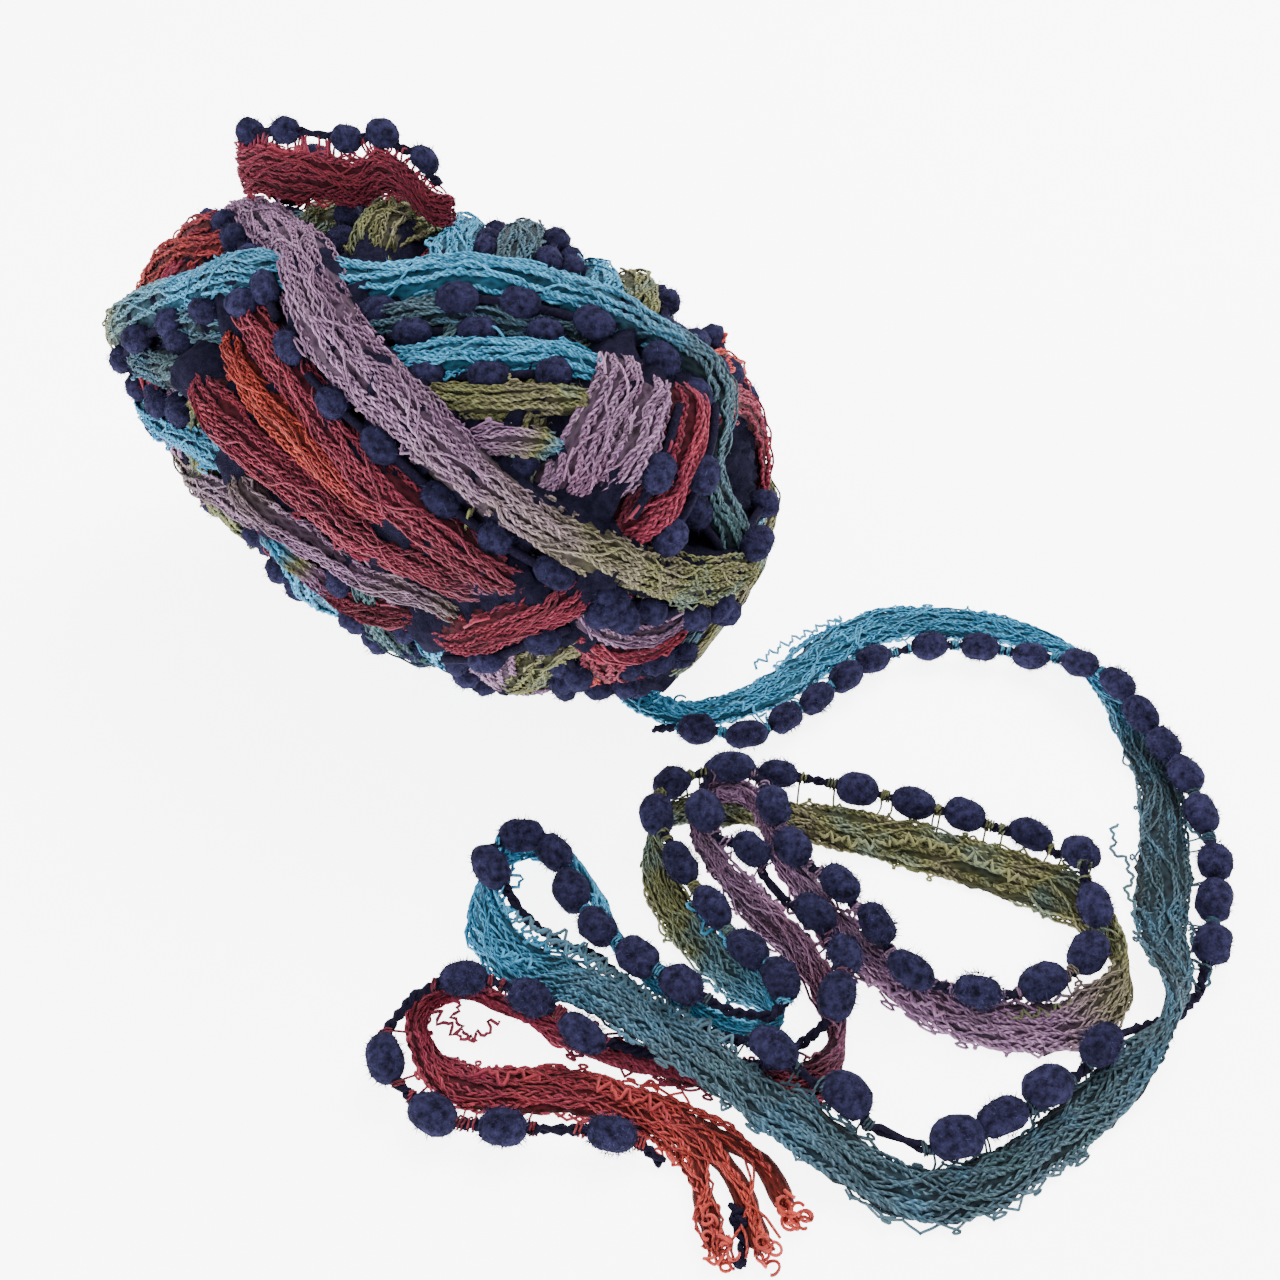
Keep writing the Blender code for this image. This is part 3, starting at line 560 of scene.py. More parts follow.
def fuzz(dice, roots, outward, reach, width, dye):
    """A batch of loose fibres: blades that leave their roots outwards, bend aside halfway and taper."""
    count = len(roots)
    lean = unit(outward + 0.75 * dice.normal(size=(count, 3)))
    bend = unit(lean + 0.8 * dice.normal(size=(count, 3)))
    side = unit(np.cross(lean, dice.normal(size=(count, 3))))
    long = reach * dice.uniform(0.5, 1.3, (count, 1))
    middle = roots + 0.55 * long * lean
    tip = middle + 0.6 * long * bend
    rim = 0.5 * width * side
    points = np.stack([roots - rim, roots + rim, middle + 0.8 * rim, middle - 0.8 * rim, tip], axis=1)
    off_table(points, SKIM)
    base = 5 * np.arange(count)[:, None]
    faces = [base + [0, 1, 2, 3], base + [3, 2, 4]]
    dye = np.repeat(np.broadcast_to(dye, count), 5)
    return points.reshape(-1, 3), faces, np.zeros((7 * count, 2)), dye, FIBRE_SHADE


def cord_ranks(cords):
    """Places of cords that lie side by side, from -1 at one edge of a ribbon to 1 at the other."""
    return (np.arange(cords) + 0.5) / cords * 2.0 - 1.0


def ribbon_cords(dice, lie, cords, layers):
    """Lines (3 * cords, n, 3) of a ribbon's plaited threads and their shade. The cords lie side by side,
    every other one deeper by a layer, and wander. A thread's chance tone gets painted shade where it dips
    under the rest and painted light where it lies high."""
    rank, run = cord_ranks(cords), lie.run
    spread = rank[:, None] + wander(dice, cords, run, ((61.0, 0.09), (24.0, 0.06), (11.0, 0.03)))
    aside = np.clip(spread, -1.0, 1.0) * np.maximum(lie.half - CORD_HALF_WIDTH - THREAD_RADIUS, 1.0)
    face = np.where(np.arange(cords) % 2, -1.0, 1.0)[:, None]
    depth = layers * face * np.sqrt(1.0 - 0.8 * rank[:, None]**2)
    depth = depth + wander(dice, cords, run, ((29.0, 0.22), (9.0, 0.14)))
    swing, dip = plait(dice, cords, run)
    aside = (aside[:, None] + swing).reshape(-1, len(run))
    depth = (depth[:, None] + dip).reshape(-1, len(run))
    shade = dice.uniform(0.65, 1.3, (3 * cords, 1))
    shade = shade + wander(dice, 3 * cords, run, ((18.0, 0.15), (6.0, 0.12)))
    return lie.middle + aside[..., None] * lie.across + depth[..., None] * lie.through, shade + dip_shade(dip)


def dip_shade(dip):
    """Painted light and shade on plaited threads: lighter high in their cord, darker where they dip."""
    return DIP_SHADE * np.tanh(dip.reshape(-1, dip.shape[-1]) / 0.3)


def ribbon_strays(dice, lie, count):
    """Lines (count, n, 3) of single threads that run along both faces of a ribbon and slowly cross it, and
    their shade."""
    run = lie.run
    waves = ((75.0, 0.6), (27.0, 0.3), (9.0, 0.06), (5.0, 0.03))
    loose = np.clip(wander(dice, count, run, waves), -1.0, 1.0)
    face = np.where(np.arange(count) % 3, 1.0, -1.0)[:, None]
    lift = 1.25 * face * np.sqrt(1.0 - 0.7 * loose**2) + wander(dice, count, run, ((13.0, 0.2), (6.0, 0.15)))
    aside = loose * (lie.half - STRAY_RADIUS)
    shade = dice.uniform(0.7, 1.25, (count, 1)) + wander(dice, count, run, ((18.0, 0.12), (7.0, 0.1)))
    return lie.middle + aside[..., None] * lie.across + lift[..., None] * lie.through, shade


def table_level(points):
    """Height of the table under given points."""
    return np.zeros(len(points))


def edge_loops(dice, lie, start, reach, edge, lift=0.6):
    """Lines (count, 11, 3) of threads that leave a ribbon's edge at their start in a curled bow and come
    back to it further on: out by reach sin(pi t)^0.8, along by a step that doubles back on itself. The edge
    is 1 or -1, or 0 for a chance one. Also the run at each point."""
    count = len(start)
    t = np.linspace(0.0, 1.0, 11)
    width = BOW_SPAN * dice.uniform(0.4, 1.5, (count, 1))
    curl = dice.uniform(0.0, 1.3, (count, 1))
    at = start[:, None] + width * (t - 0.5 + 0.45 * np.sin(math.tau * t) * curl)
    bow = reach * dice.uniform(0.3, 1.25, (count, 1)) * np.sin(math.pi * t) ** 0.8
    side = edge if edge else np.where(dice.uniform(size=(count, 1)) < 0.5, -1.0, 1.0)
    aside = side * (0.84 * np.interp(at, lie.run, lie.half) + bow)
    rise = lift * dice.uniform(-1.0, 1.6, (count, 1)) * np.sin(math.pi * t)
    middle, across, through = (along_line(at, lie.run, values) for values in lie[:3])
    return middle + aside[..., None] * across + rise[..., None] * through, at


def curls(dice, centres, size, count, spread):
    """Lines (count, 12, 3) of short curled ends: three quarters of a ring of about the given size, each at a
    chance lean, around chance spots near the centres."""
    chosen = dice.integers(0, len(centres), count)
    spots = np.asarray(centres, float)[chosen] + spread * dice.uniform(-1.0, 1.0, (count, 3))
    first = unit(dice.normal(size=(count, 3)) * [1.0, 1.0, 0.5])
    second = unit(np.cross(first, dice.normal(size=(count, 3))))
    radius = size * dice.uniform(0.6, 1.3, (count, 1, 1))
    turn = np.linspace(0.0, 5.2, 12)[None, :, None]
    climb = 0.25 * radius * turn * unit(np.cross(first, second))[:, None]
    return spots[:, None] + radius * (np.cos(turn) * first[:, None] + np.sin(turn) * second[:, None]) + climb


def squiggle(dice, points, reach, wave):
    """A kinked loose thread through points, swinging aside by reach and up by half of it."""
    line, _, run = smooth_route(points, 0.55)
    side = unit(np.cross(unit(np.gradient(line, axis=0)), [0.0, 0.0, 1.0]))
    swing = wander(dice, 2, run, ((wave, 0.7), (0.55 * wave, 0.5)))
    line = line + reach * swing[0][:, None] * side
    line[:, 2] += 0.5 * reach * np.abs(swing[1])
    return line


dice = np.random.default_rng(7)
tail_lie = ribbon_lie(TAIL, table_level)
half_lie = every_other(tail_lie)
tail_run = tail_lie.run
tail_dye = np.interp(tail_run, *np.array(TAIL_DYES, float).T)
tail_lines, tail_shade = ribbon_cords(dice, tail_lie, TAIL_CORDS, layers=0.75)
stray_lines, stray_shade = ribbon_strays(dice, half_lie, TAIL_STRAYS)

# The cut tip parts into three tongues: each one's place across the ribbon, and the run that it is cut at.
# The ribbon's inside starts behind them, and widens while theirs run into it.
TONGUES = ((0.66, 0.0), (-0.14, -1.0), (-0.84, 5.0))
TONGUE_SPREAD = 0.82
TIP_RUN = 24.0
PARTED_BY = 25.0
PARTING_RUN = 17.0
INSIDE_FROM = 17.0
TONGUES_TO = 31.0


def part_at_tip(dice, lines, lie, group):
    """Draws a ribbon's lines together into the tip's tongues, a group of lines to each, and cuts every line
    at its tongue's length. Gives the lines and which of their points are kept."""
    aside = ((lines - lie.middle) * lie.across).sum(axis=2)
    tip = lie.run < TIP_RUN
    share = np.bincount(group, (aside[:, tip] / lie.half[tip]).mean(axis=1)) / np.bincount(group)
    centres, cuts = np.array(TONGUES).T
    tongue = np.abs(share[:, None] - centres).argmin(axis=1)[group]
    part = np.clip((PARTED_BY - lie.run) / PARTING_RUN, 0.0, 1.0)
    part = part * part * (3.0 - 2.0 * part)
    own = TONGUE_SPREAD * (aside - share[group][:, None] * lie.half)
    drawn = centres[tongue][:, None] * lie.half + own
    cut = np.maximum(cuts[tongue] + dice.uniform(0.0, 3.0, len(group)), 0.0)
    return lines + (part * (drawn - aside))[..., None] * lie.across, lie.run[None] >= cut[:, None]


tail_lines, tail_kept = part_at_tip(dice, tail_lines, tail_lie, np.repeat(np.arange(TAIL_CORDS), 3))
stray_lines, stray_kept = part_at_tip(dice, stray_lines, half_lie, np.arange(TAIL_STRAYS))
off_table(tail_lines, THREAD_RADIUS + SKIM)
off_table(stray_lines, STRAY_RADIUS + SKIM)
threads = tubes(tail_lines, THREAD_RADIUS, tail_lie.through, tail_dye, tail_shade, keep=tail_kept)
tail_ribbon = woollen("loose_end_ribbon", [threads], thread_wool)
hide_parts("tail_ribbon")
strays = tubes(stray_lines, STRAY_RADIUS, half_lie.through, tail_dye[::2], stray_shade, keep=stray_kept)
tail_strays = woollen("loose_end_strays", [strays], thread_wool)

# The denser middle of the gathered ribbon under its outer cords, one length for the strip and one for each
# tongue of the tip. Its dark wool is painted shade of the deeper threads.
run = half_lie.run
breath = 1.0 + wander(dice, 2, run, ((31.0, 0.1), (8.0, 0.08), (4.3, 0.06)))
narrow = np.clip((run - INSIDE_FROM) / (TONGUES_TO - INSIDE_FROM), 0.12, 1.0)
inside_batches = [ribbon_inside(half_lie, 0.8 * half_lie.half * breath[0] * narrow, 0.85 * breath[1],
                                tail_dye[::2], run > INSIDE_FROM)]
for centre, cut in TONGUES:
    aside = centre * half_lie.half * np.clip((TONGUES_TO - run) / PARTING_RUN, 0.0, 1.0)
    way = half_lie._replace(middle=half_lie.middle + aside[:, None] * half_lie.across)
    inside_batches.append(ribbon_inside(way, 1.9 * breath[1], 0.95 * breath[0], tail_dye[::2],
                                        (run > cut + 2.0) & (run < TONGUES_TO)))
tail_inside = woollen("loose_end_inside", inside_batches, inner_wool_painted_shade)

# Bowed threads along the ribbon's edges, the curled ends of its tip and of the tuft at the ball, slack
# threads that hang off it where the photograph shows them, and short fibres all over it.
BOWS = 480
BOW_RADIUS = 0.31
CURL_RADIUS = 0.36
SLACK_RADIUS = 0.42
CURL_HEIGHT = 0.4
SLACK_SHADE = 1.05
FIBRES = 6000
FIBRE_WIDTH = 0.1
FIBRES_FROM = 22
TIP_CURLS = ((13.5, -149.5, 1.8), (14.5, -152.0, 1.6), (21.5, -149.5, 1.8), (22.5, -152.5, 1.6),
             (12.0, -145.0, 1.8), (26.0, -142.5, 1.8), (27.3, -145.0, 1.6))
TUFT_CURLS = ((-1.0, -21.5, 3.0), (2.5, -23.5, 3.4), (5.5, -25.0, 3.2), (9.0, -26.5, 3.0))

# Slack threads: dye, swing, wave and points (x, y, height).
SLACK = (
    (1.1, 1.3, 4.0, ((-41, -106, 3), (-38, -108.5, 2), (-34, -110.5, 1), (-30.5, -110, 0.8), (-28, -108, 3))),
    (1.0, 1.1, 3.4, ((-36, -105, 6), (-35.5, -109.5, 1.2), (-32, -112, 0.8))),
    (0.8, 1.3, 4.4, ((-31, -118, 2.5), (-26, -120.5, 3.5), (-22, -119, 3), (-19, -121, 2.5))),
    (0.5, 1.4, 4.0, ((-8, -121, 3), (-3, -124, 3.5), (2, -125, 3), (6, -128, 3))),
    (5.0, 1.5, 4.2, ((-27.5, -72, 9), (-26, -77, 4), (-27.5, -82, 2), (-24.5, -86, 5), (-22, -91, 6))),
    (5.1, 1.3, 3.6, ((-30, -78, 8), (-28, -83, 3), (-26, -89, 4), (-21, -93, 6), (-16, -95, 7))),
    (5.0, 1.2, 3.4, ((-33, -88, 4), (-30, -92, 4), (-26, -95, 5), (-21, -98, 6))),
    (5.0, 1.6, 4.6, ((11, -83, 6), (13, -88, 5), (17, -91, 6), (19, -95, 5))),
    (3.0, 1.1, 3.8, ((17, -66, 8), (15.5, -61, 9), (19, -57.5, 11), (23, -60, 10))),
    (3.0, 1.2, 4.2, ((30, -86, 3), (36, -92, 4), (44, -99, 4), (52, -103, 3.5), (60, -107, 3))),
    (3.1, 1.0, 4.0, ((22, -78, 5), (29, -83, 6), (35, -89, 5), (41, -94, 4))),
    (4.0, 1.3, 4.4, ((40, -64, 3), (50, -67, 4), (60, -66, 4), (70, -70, 4), (82, -77, 4))),
    (4.1, 1.1, 3.8, ((94, -99, 4), (88, -104, 4), (80, -107, 4), (72, -108, 3.5))),
    (6.0, 0.7, 6.0, ((119, -64, 6), (124, -66, 4), (127.4, -70, 3), (124, -73, 3), (120, -71, 5))),
    (6.0, 0.7, 6.0, ((110, -94, 3), (114, -95, 2), (115.5, -98.5, 1), (112, -100, 1.5), (109, -98, 3))),
    (6.0, 0.8, 5.0, ((106, -60, 2), (104, -66, 1), (106, -72, 2), (104, -79, 1), (107, -84, 2))),
    (5.1, 1.2, 3.6, ((50, -2, 4), (55, -6, 4), (58, -9, 3), (61, -8, 3.5), (65, -9.5, 3))),
    (5.0, 1.3, 4.0, ((22, -25, 4), (27, -28, 4), (31, -30, 3), (36, -28, 3), (40, -24, 4))),
    (5.0, 1.1, 4.0, ((28, -12.5, 3), (35, -6.5, 3.5), (43, -1, 3.5), (52, 5, 3))),
    (5.8, 1.2, 5.0, ((-25, -89, 10.5), (-17, -94.5, 9.8), (-8, -100, 9.4), (2, -106.5, 8.2), (12, -112, 8))),
    (6.0, 1.3, 4.4, ((-22, -91, 10.2), (-14, -97, 9.6), (-4, -102.5, 9), (6, -108, 8), (16, -114, 8))),
    (6.0, 1.4, 5.4, ((-18, -92, 10), (-9, -98.5, 9.6), (0, -105, 8.6), (9, -111, 8), (18, -117, 9))),
    (6.1, 1.2, 4.8, ((-12, -96, 9.8), (-3, -103.5, 8.8), (7, -109.5, 8), (15, -115.5, 8), (22, -122, 8))),
)

starts = dice.uniform(0.02, 0.97, BOWS) * tail_run[-1]
loops, at = edge_loops(dice, tail_lie, starts, reach=1.5, edge=0)
loop_dye = np.interp(at, tail_run, tail_dye)
loose_batches = [tubes(off_table(loops, LOOSE_HEIGHT), BOW_RADIUS, NEARLY_UP, loop_dye,
                       dice.uniform(0.8, 1.3, (BOWS, 1)))]
for centres, size, count, spread, dye, shades in (
        (TIP_CURLS, 1.0, 60, 1.7, 0.1, (0.75, 1.2)), (TUFT_CURLS, 1.5, 46, 2.2, 5.0, (0.7, 1.2))):
    ends = off_table(curls(dice, centres, size, count, spread), CURL_HEIGHT)
    loose_batches.append(tubes(ends, CURL_RADIUS, NEARLY_UP, dye, dice.uniform(*shades, (count, 1))))
for dye, swing, wave, points in SLACK:
    line = off_table(squiggle(dice, points, swing, wave), LOOSE_HEIGHT)
    loose_batches.append(tubes(line[None], SLACK_RADIUS, NEARLY_UP, dye, SLACK_SHADE))
pick = dice.integers(0, len(tail_lines), FIBRES), dice.integers(FIBRES_FROM, len(tail_run), FIBRES)
outward = unit(tail_lines[pick] - tail_lie.middle[pick[1]] + [0.0, 0.0, 0.8])
loose_batches.append(
    fuzz(dice, tail_lines[pick], outward, reach=1.7, width=FIBRE_WIDTH, dye=tail_dye[pick[1]]))
tail_fuzz = woollen("loose_end_fuzz", loose_batches, fuzz_wool)

# The loose end's pompom string
# A twisted two-ply navy wool cord that carries felted navy wool pompoms. Thin wool threads bind it at both
# ends of each pompom and tie it along the ribbon's edge.

# Columns: x, y, height of its middle above the table, and 1 for a pompom or 0 for bare cord.
TAIL_STRING = (
    (5.0, -134.5, 1.4, 0),
    (-5.0, -131.5, 5.0, 1),
    (-25.0, -130.5, 5.0, 1),
    (-38.0, -128.0, 5.0, 1),
    (-48.0, -118.5, 7.5, 1),
    (-45.5, -109.0, 10.0, 0),
    (-34.0, -104.0, 12.0, 1),
    (-21.0, -108.0, 11.5, 1),
    (-10.0, -113.0, 9.0, 1),
    (-2.0, -115.5, 5.0, 0),
    (10.0, -117.0, 4.8, 0),
    (24.0, -118.5, 4.8, 0),
    (33.0, -115.5, 9.0, 0),
    (37.5, -108.5, 13.0, 1),
    (39.0, -99.0, 9.5, 1),
    (34.0, -89.0, 6.5, 1),
    (26.5, -81.0, 8.5, 0),
    (20.0, -76.5, 9.5, 1),
    (13.5, -67.0, 14.5, 1),
    (13.5, -58.5, 15.2, 0),
    (20.0, -54.5, 15.2, 1),
    (26.0, -58.0, 15.2, 0),
    (28.5, -64.5, 14.5, 1),
    (32.0, -74.0, 11.5, 1),
    (40.5, -82.5, 10.0, 1),
    (47.0, -91.5, 8.5, 1),
    (53.5, -100.0, 6.5, 1),
    (65.5, -105.0, 7.0, 1),
    (79.0, -103.5, 7.0, 1),
    (89.5, -96.5, 8.0, 1),
    (94.0, -86.5, 9.0, 1),
    (92.5, -75.0, 5.5, 1),
    (84.5, -66.5, 5.0, 1),
    (71.5, -60.5, 5.0, 1),
    (61.0, -56.5, 5.0, 1),
    (49.0, -52.5, 5.0, 1),
    (31.5, -48.0, 5.0, 1),
    (19.0, -47.0, 5.0, 1),
    (7.0, -53.0, 8.0, 1),
    (3.5, -64.0, 11.0, 1),
    (8.5, -76.0, 10.0, 1),
    (14.5, -87.0, 9.0, 1),
    (21.5, -96.5, 9.5, 1),
    (27.5, -103.5, 10.5, 1),
    (27.0, -110.0, 10.5, 0),
    (22.0, -112.0, 10.5, 0),
    (15.5, -109.5, 10.5, 0),
    (8.0, -105.5, 12.0, 1),
    (-0.5, -99.5, 12.0, 1),
    (-8.0, -92.0, 10.5, 1),
    (-13.5, -83.0, 10.0, 1),
    (-17.5, -74.5, 11.5, 1),
    (-25.0, -70.5, 12.5, 1),
    (-32.0, -74.5, 12.0, 0),
    (-30.5, -80.5, 12.0, 1),
    (-24.0, -87.5, 9.0, 0),
    (-17.5, -94.0, 8.0, 0),
    (-8.0, -99.5, 7.5, 0),
    (3.0, -106.5, 6.0, 0),
    (14.0, -113.0, 6.0, 0),
    (24.5, -118.5, 11.0, 1),
    (36.5, -127.5, 7.0, 1),
    (48.0, -134.0, 4.5, 0),
    (57.5, -134.0, 5.0, 1),
    (66.5, -130.5, 5.5, 1),
    (76.0, -125.0, 5.5, 1),
    (88.0, -116.5, 5.0, 1),
    (98.0, -110.0, 1.4, 0),
    (108.0, -104.0, 1.4, 0),
    (115.5, -92.5, 5.0, 1),
    (120.0, -82.0, 5.0, 1),
    (122.7, -73.0, 6.0, 1),
    (123.5, -60.5, 6.5, 1),
    (123.0, -50.0, 7.0, 1),
    (120.5, -41.5, 7.5, 1),
    (117.0, -33.5, 9.0, 1),
    (113.5, -25.0, 10.5, 1),
    (107.5, -16.5, 8.5, 1),
    (97.0, -10.5, 5.0, 1),
    (85.0, -7.5, 5.0, 1),
    (72.5, -7.0, 5.0, 1),
    (57.5, -11.5, 5.0, 1),
    (50.0, -17.5, 5.0, 1),
    (42.0, -24.5, 5.0, 1),
    (34.5, -31.0, 5.0, 1),
    (25.0, -36.5, 5.0, 1),
    (13.5, -34.0, 5.0, 1),
    (3.0, -31.5, 1.4, 0),
)

CORD_RADIUS = 1.1
POMPOM_RADIUS = 3.8
POMPOM_HALF_LENGTH = 5.3
FELT_RADIUS = 3.5
FELT_HALF_LENGTH = 5.0
FELT_HAIRS = 420
STATION_RUN = 8.0
POMPOM_STATIONS = np.array([-1.0, -0.8, -0.3, 0.3, 0.8, 1.0])
STRING_STEP = 1.0
CLEAR = 0.4
PLY_RADIUS = 0.62
PLY_PITCH = 5.0
PLY_SIDES = 5
CORD_HEIGHT = 0.6
CORD_PLY_RADIUS = 0.64
KNOT_RADIUS = 0.55
TIE_RADIUS = 0.27
LONGEST_TIE = 14.0
NEARLY_UPRIGHT = (0.03, 0.05, 1.0)
TIE_REFERENCE = (0.3, 0.2, 1.0)

# The end of the string in the cut tip, and its two knots.
STUB = ((16.6, -143.0, 1.6), (17.0, -146.5, 1.8), (18.0, -149.5, 1.4), (17.2, -153.0, 1.2))
KNOTS = ((17.0, -152.6, 1.5), (17.2, -146.0, 1.9))


def navy_material(name, colour, light, roughness, scale):
    """Navy wool: cloudy lighter and darker tufts, over a felted or twisted bump, with a blue sheen."""
    material, shader = principled(name, colour, roughness, sheen=0.03, sheen_tint=(0.45, 0.45, 0.9),
                                  gloss=0.02)
    tree = material.node_tree
    where = add_node(tree, "ShaderNodeTexCoord")
    patches = add_node(tree, "ShaderNodeTexNoise", {"Scale": 0.6 * scale, "Detail": 5.0, "Roughness": 0.65})
    tufts = add_node(tree, "ShaderNodeMapRange", {"From Min": 0.36, "From Max": 0.66})
    felt = add_node(tree, "ShaderNodeTexNoise", {"Scale": scale, "Detail": 6.0, "Roughness": 0.75})
    shade = add_node(tree, "ShaderNodeAttribute", attribute_name="shade")
    mix = add_node(tree, "ShaderNodeMix", {6: (*colour, 1.0), 7: (*light, 1.0)}, data_type="RGBA")
    scaled = add_node(tree, "ShaderNodeVectorMath", operation="SCALE")
    bump = add_node(tree, "ShaderNodeBump", {"Strength": 1.0, "Distance": 0.0013})
    wire(tree, (where, "Object", patches, "Vector"), (where, "Object", felt, "Vector"),
         (patches, "Fac", tufts, "Value"), (tufts, "Result", mix, "Factor"), (mix, 2, scaled, 0),
         (shade, "Fac", scaled, "Scale"), (scaled, "Vector", shader, "Base Color"))
    wire(tree, (felt, "Fac", bump, "Height"), (bump, "Normal", shader, "Normal"))
    return material


navy_felt = navy_material("navy_felt", (0.0065, 0.0058, 0.0135), (0.0345, 0.0320, 0.0860),
                          roughness=0.97, scale=1100.0)
navy_cord = navy_material("navy_cord", (0.006, 0.005, 0.014), (0.018, 0.014, 0.034),
                          roughness=0.9, scale=2200.0)


def distances(first, second):
    """Distance from each of the first points to each of the second."""
    return np.linalg.norm(first[:, None] - second[None], axis=2)


def bell(distance, reach):
    """A bell curve: exp(-(distance / reach)^2)."""
    return np.exp(-((distance / reach) ** 2))


def string_stations(rows, floor, radius, half):
    """Middle and radius at the stations of a string whose pompoms have a radius and a half length, as its
    solid has them, the stations' run and the pompoms'."""
    rows = np.array(rows, float)
    rows[:, 2] += floor(rows)
    line, place, run = smooth_route(rows, STRING_STEP)
    spots = np.interp(np.arange(len(rows)), place, run)[rows[:, 3] > 0]
    bare = [at for at in np.arange(0.0, run[-1], STATION_RUN) if np.abs(spots - at).min() > half + 2.5]
    at = np.concatenate([(spots[:, None] + half * POMPOM_STATIONS).ravel(), bare, [run[-1]]])
    at = np.sort(np.clip(at, 0.0, run[-1]))
    at = at[np.concatenate([[True], np.diff(at) > 0.19 * half])]
    apart = np.abs(at[:, None] - spots).min(axis=1) / half
    size = np.maximum(radius * np.sqrt(np.clip(1.0 - apart**2.4, 0.0, 1.0)), CORD_RADIUS)
    return along_line(at, run, line[:, :3]), size, at, spots


def shortfall(spot, room, trees):
    """The move that a spot needs to be at least room away from every body."""
    move = Vector((0.0, 0.0, 0.0))
    for tree in trees:
        hit, normal, _, _ = tree.find_nearest(spot)
        away = spot - hit
        outside = away.dot(normal) > 0.0 or away.length > RIBBON_THICKNESS
        way = away.normalized() if outside and away.length > 0.2 else normal
        gap = away.length if outside else -away.length
        if gap < room:
            move += way * (room - gap)
    return np.array(move)


def keep_off(middle, size, trees, rounds=40):
    """Moves a string's stations, and so the spans between them, out of the ribbons' way and off the table."""
    middle = middle.copy()
    for _ in range(rounds):
        for i in range(len(middle) - 1):
            for share in (0.0, 0.33, 0.67):
                spot = Vector((1.0 - share) * middle[i] + share * middle[i + 1])
                room = (1.0 - share) * size[i] + share * size[i + 1] + CLEAR
                move = 0.7 * shortfall(spot, room, trees)
                middle[i] += move * (1.0 - share)
                middle[i + 1] += move * share
        middle[:, 2] = np.maximum(middle[:, 2], size)
    return middle


def solid_tree(node):
    """Search tree of a solid of the frame, in the table's millimetres."""
    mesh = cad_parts[node].data
    points = np.array([vertex.co[:] for vertex in mesh.vertices]) * 1000.0 + MIDDLE
    faces = [face.vertices[:] for face in mesh.polygons]
    return BVHTree.FromPolygons([Vector(point) for point in points], faces)


def string_line(rows, floor, trees, radius, half):
    """The string's line at 1 mm steps, and the middle and heading of each pompom on it."""
    middle, size, at, spots = string_stations(rows, floor, radius, half)
    middle = keep_off(middle, size, trees)
    run = np.arange(at[0], at[-1], STRING_STEP)
    soft = bell(np.subtract.outer(run, at), 2.2) + 1e-12
    line = 0.5 * along_line(run, at, middle) + 0.5 * (soft @ middle) / soft.sum(axis=1, keepdims=True)
    before, after = (along_line(spots + step, run, line) for step in (-4.0, 4.0))
    return line, along_line(spots, run, line), unit(after - before)


def two_ply(line):
    """Lines of two plies wound round a line: point plus radius times (cos t, sin t), half a turn apart."""
    heading = unit(np.gradient(line, axis=0))
    side = unit(np.cross(heading, NEARLY_UPRIGHT))
    up = np.cross(side, heading)
    t = math.tau * run_along(line) / PLY_PITCH + math.pi * np.arange(2)[:, None]
    return line + PLY_RADIUS * (np.cos(t)[..., None] * side + np.sin(t)[..., None] * up)


def pompoms(dice, places, headings, radius, half, shades, hairs, sides=12, rings=9):
    """Batches of felted pompoms and their hair. A pompom is a blunt oval turned about its heading, radius
    (1 - |t|^2.6)^0.5, its surface uneven and faintly ribbed round by the string's hidden turns. Its shade is
    a chance one between two shades, or 1 without them."""
    t = np.sin(np.linspace(-0.5, 0.5, rings) * math.pi) * 0.985
    count = len(places)
    stretch = dice.uniform(0.86, 1.06, (count, 1, 1))
    lines = places[:, None] + t[:, None] * half * stretch * headings[:, None]
    bulk = dice.uniform(0.92, 1.08, (count, 1)) * radius
    profile = (1.0 - np.abs(t) ** 2.6) ** 0.5
    around = math.tau * np.arange(sides) / sides
    lumps = (0.06 * np.sin(2.0 * around + dice.uniform(0, math.tau, (count, 1, 1)))
             + 0.05 * np.sin(3.0 * around + 3.0 * t[:, None] + dice.uniform(0, math.tau, (count, 1, 1)))
             + 0.03 * dice.normal(size=(count, rings, sides)))
    shade = dice.uniform(*shades, (count, 1)) if shades else 1.0
    felt = tubes(lines, (bulk * profile)[..., None] * (1.0 + lumps), (0.13, 0.21, 1.0), 0.0, shade, sides)
    off_table(felt[0], SKIM)
    return [felt, pompom_hair(dice, places, headings, hairs, radius, half)]


def pompom_hair(dice, places, headings, count, radius, half):
    """A batch of short fibres that stand off pompoms: single tapering blades whose roots spread over each
    oval and that lean away from its middle. They are lighter than the felt, a painted sheen."""
    way = unit(dice.normal(size=(len(places), count, 3)))
    along = (way * headings[:, None]).sum(axis=2, keepdims=True)
    flat = way - along * headings[:, None]
    spots = (places[:, None] + 0.95 * (radius * flat + half * along * headings[:, None])).reshape(-1, 3)
    lean = unit(way.reshape(-1, 3) + 0.9 * dice.normal(size=spots.shape))
    side = 0.11 * unit(np.cross(lean, dice.normal(size=spots.shape)))
    tips = spots + dice.uniform(0.5, 1.8, (len(spots), 1)) * lean
    points = off_table(np.stack([spots - side, spots + side, tips], axis=1), 0.04)
    faces = [np.arange(3 * len(spots)).reshape(-1, 3)]
    # Painted sheen: the hair's colour is 1 to 2.4 times the felt's.
    shade = np.repeat(dice.uniform(1.0, 2.4, len(spots)), 3)
    return points.reshape(-1, 3), faces, np.zeros((3 * len(spots), 2)), 0.0, shade


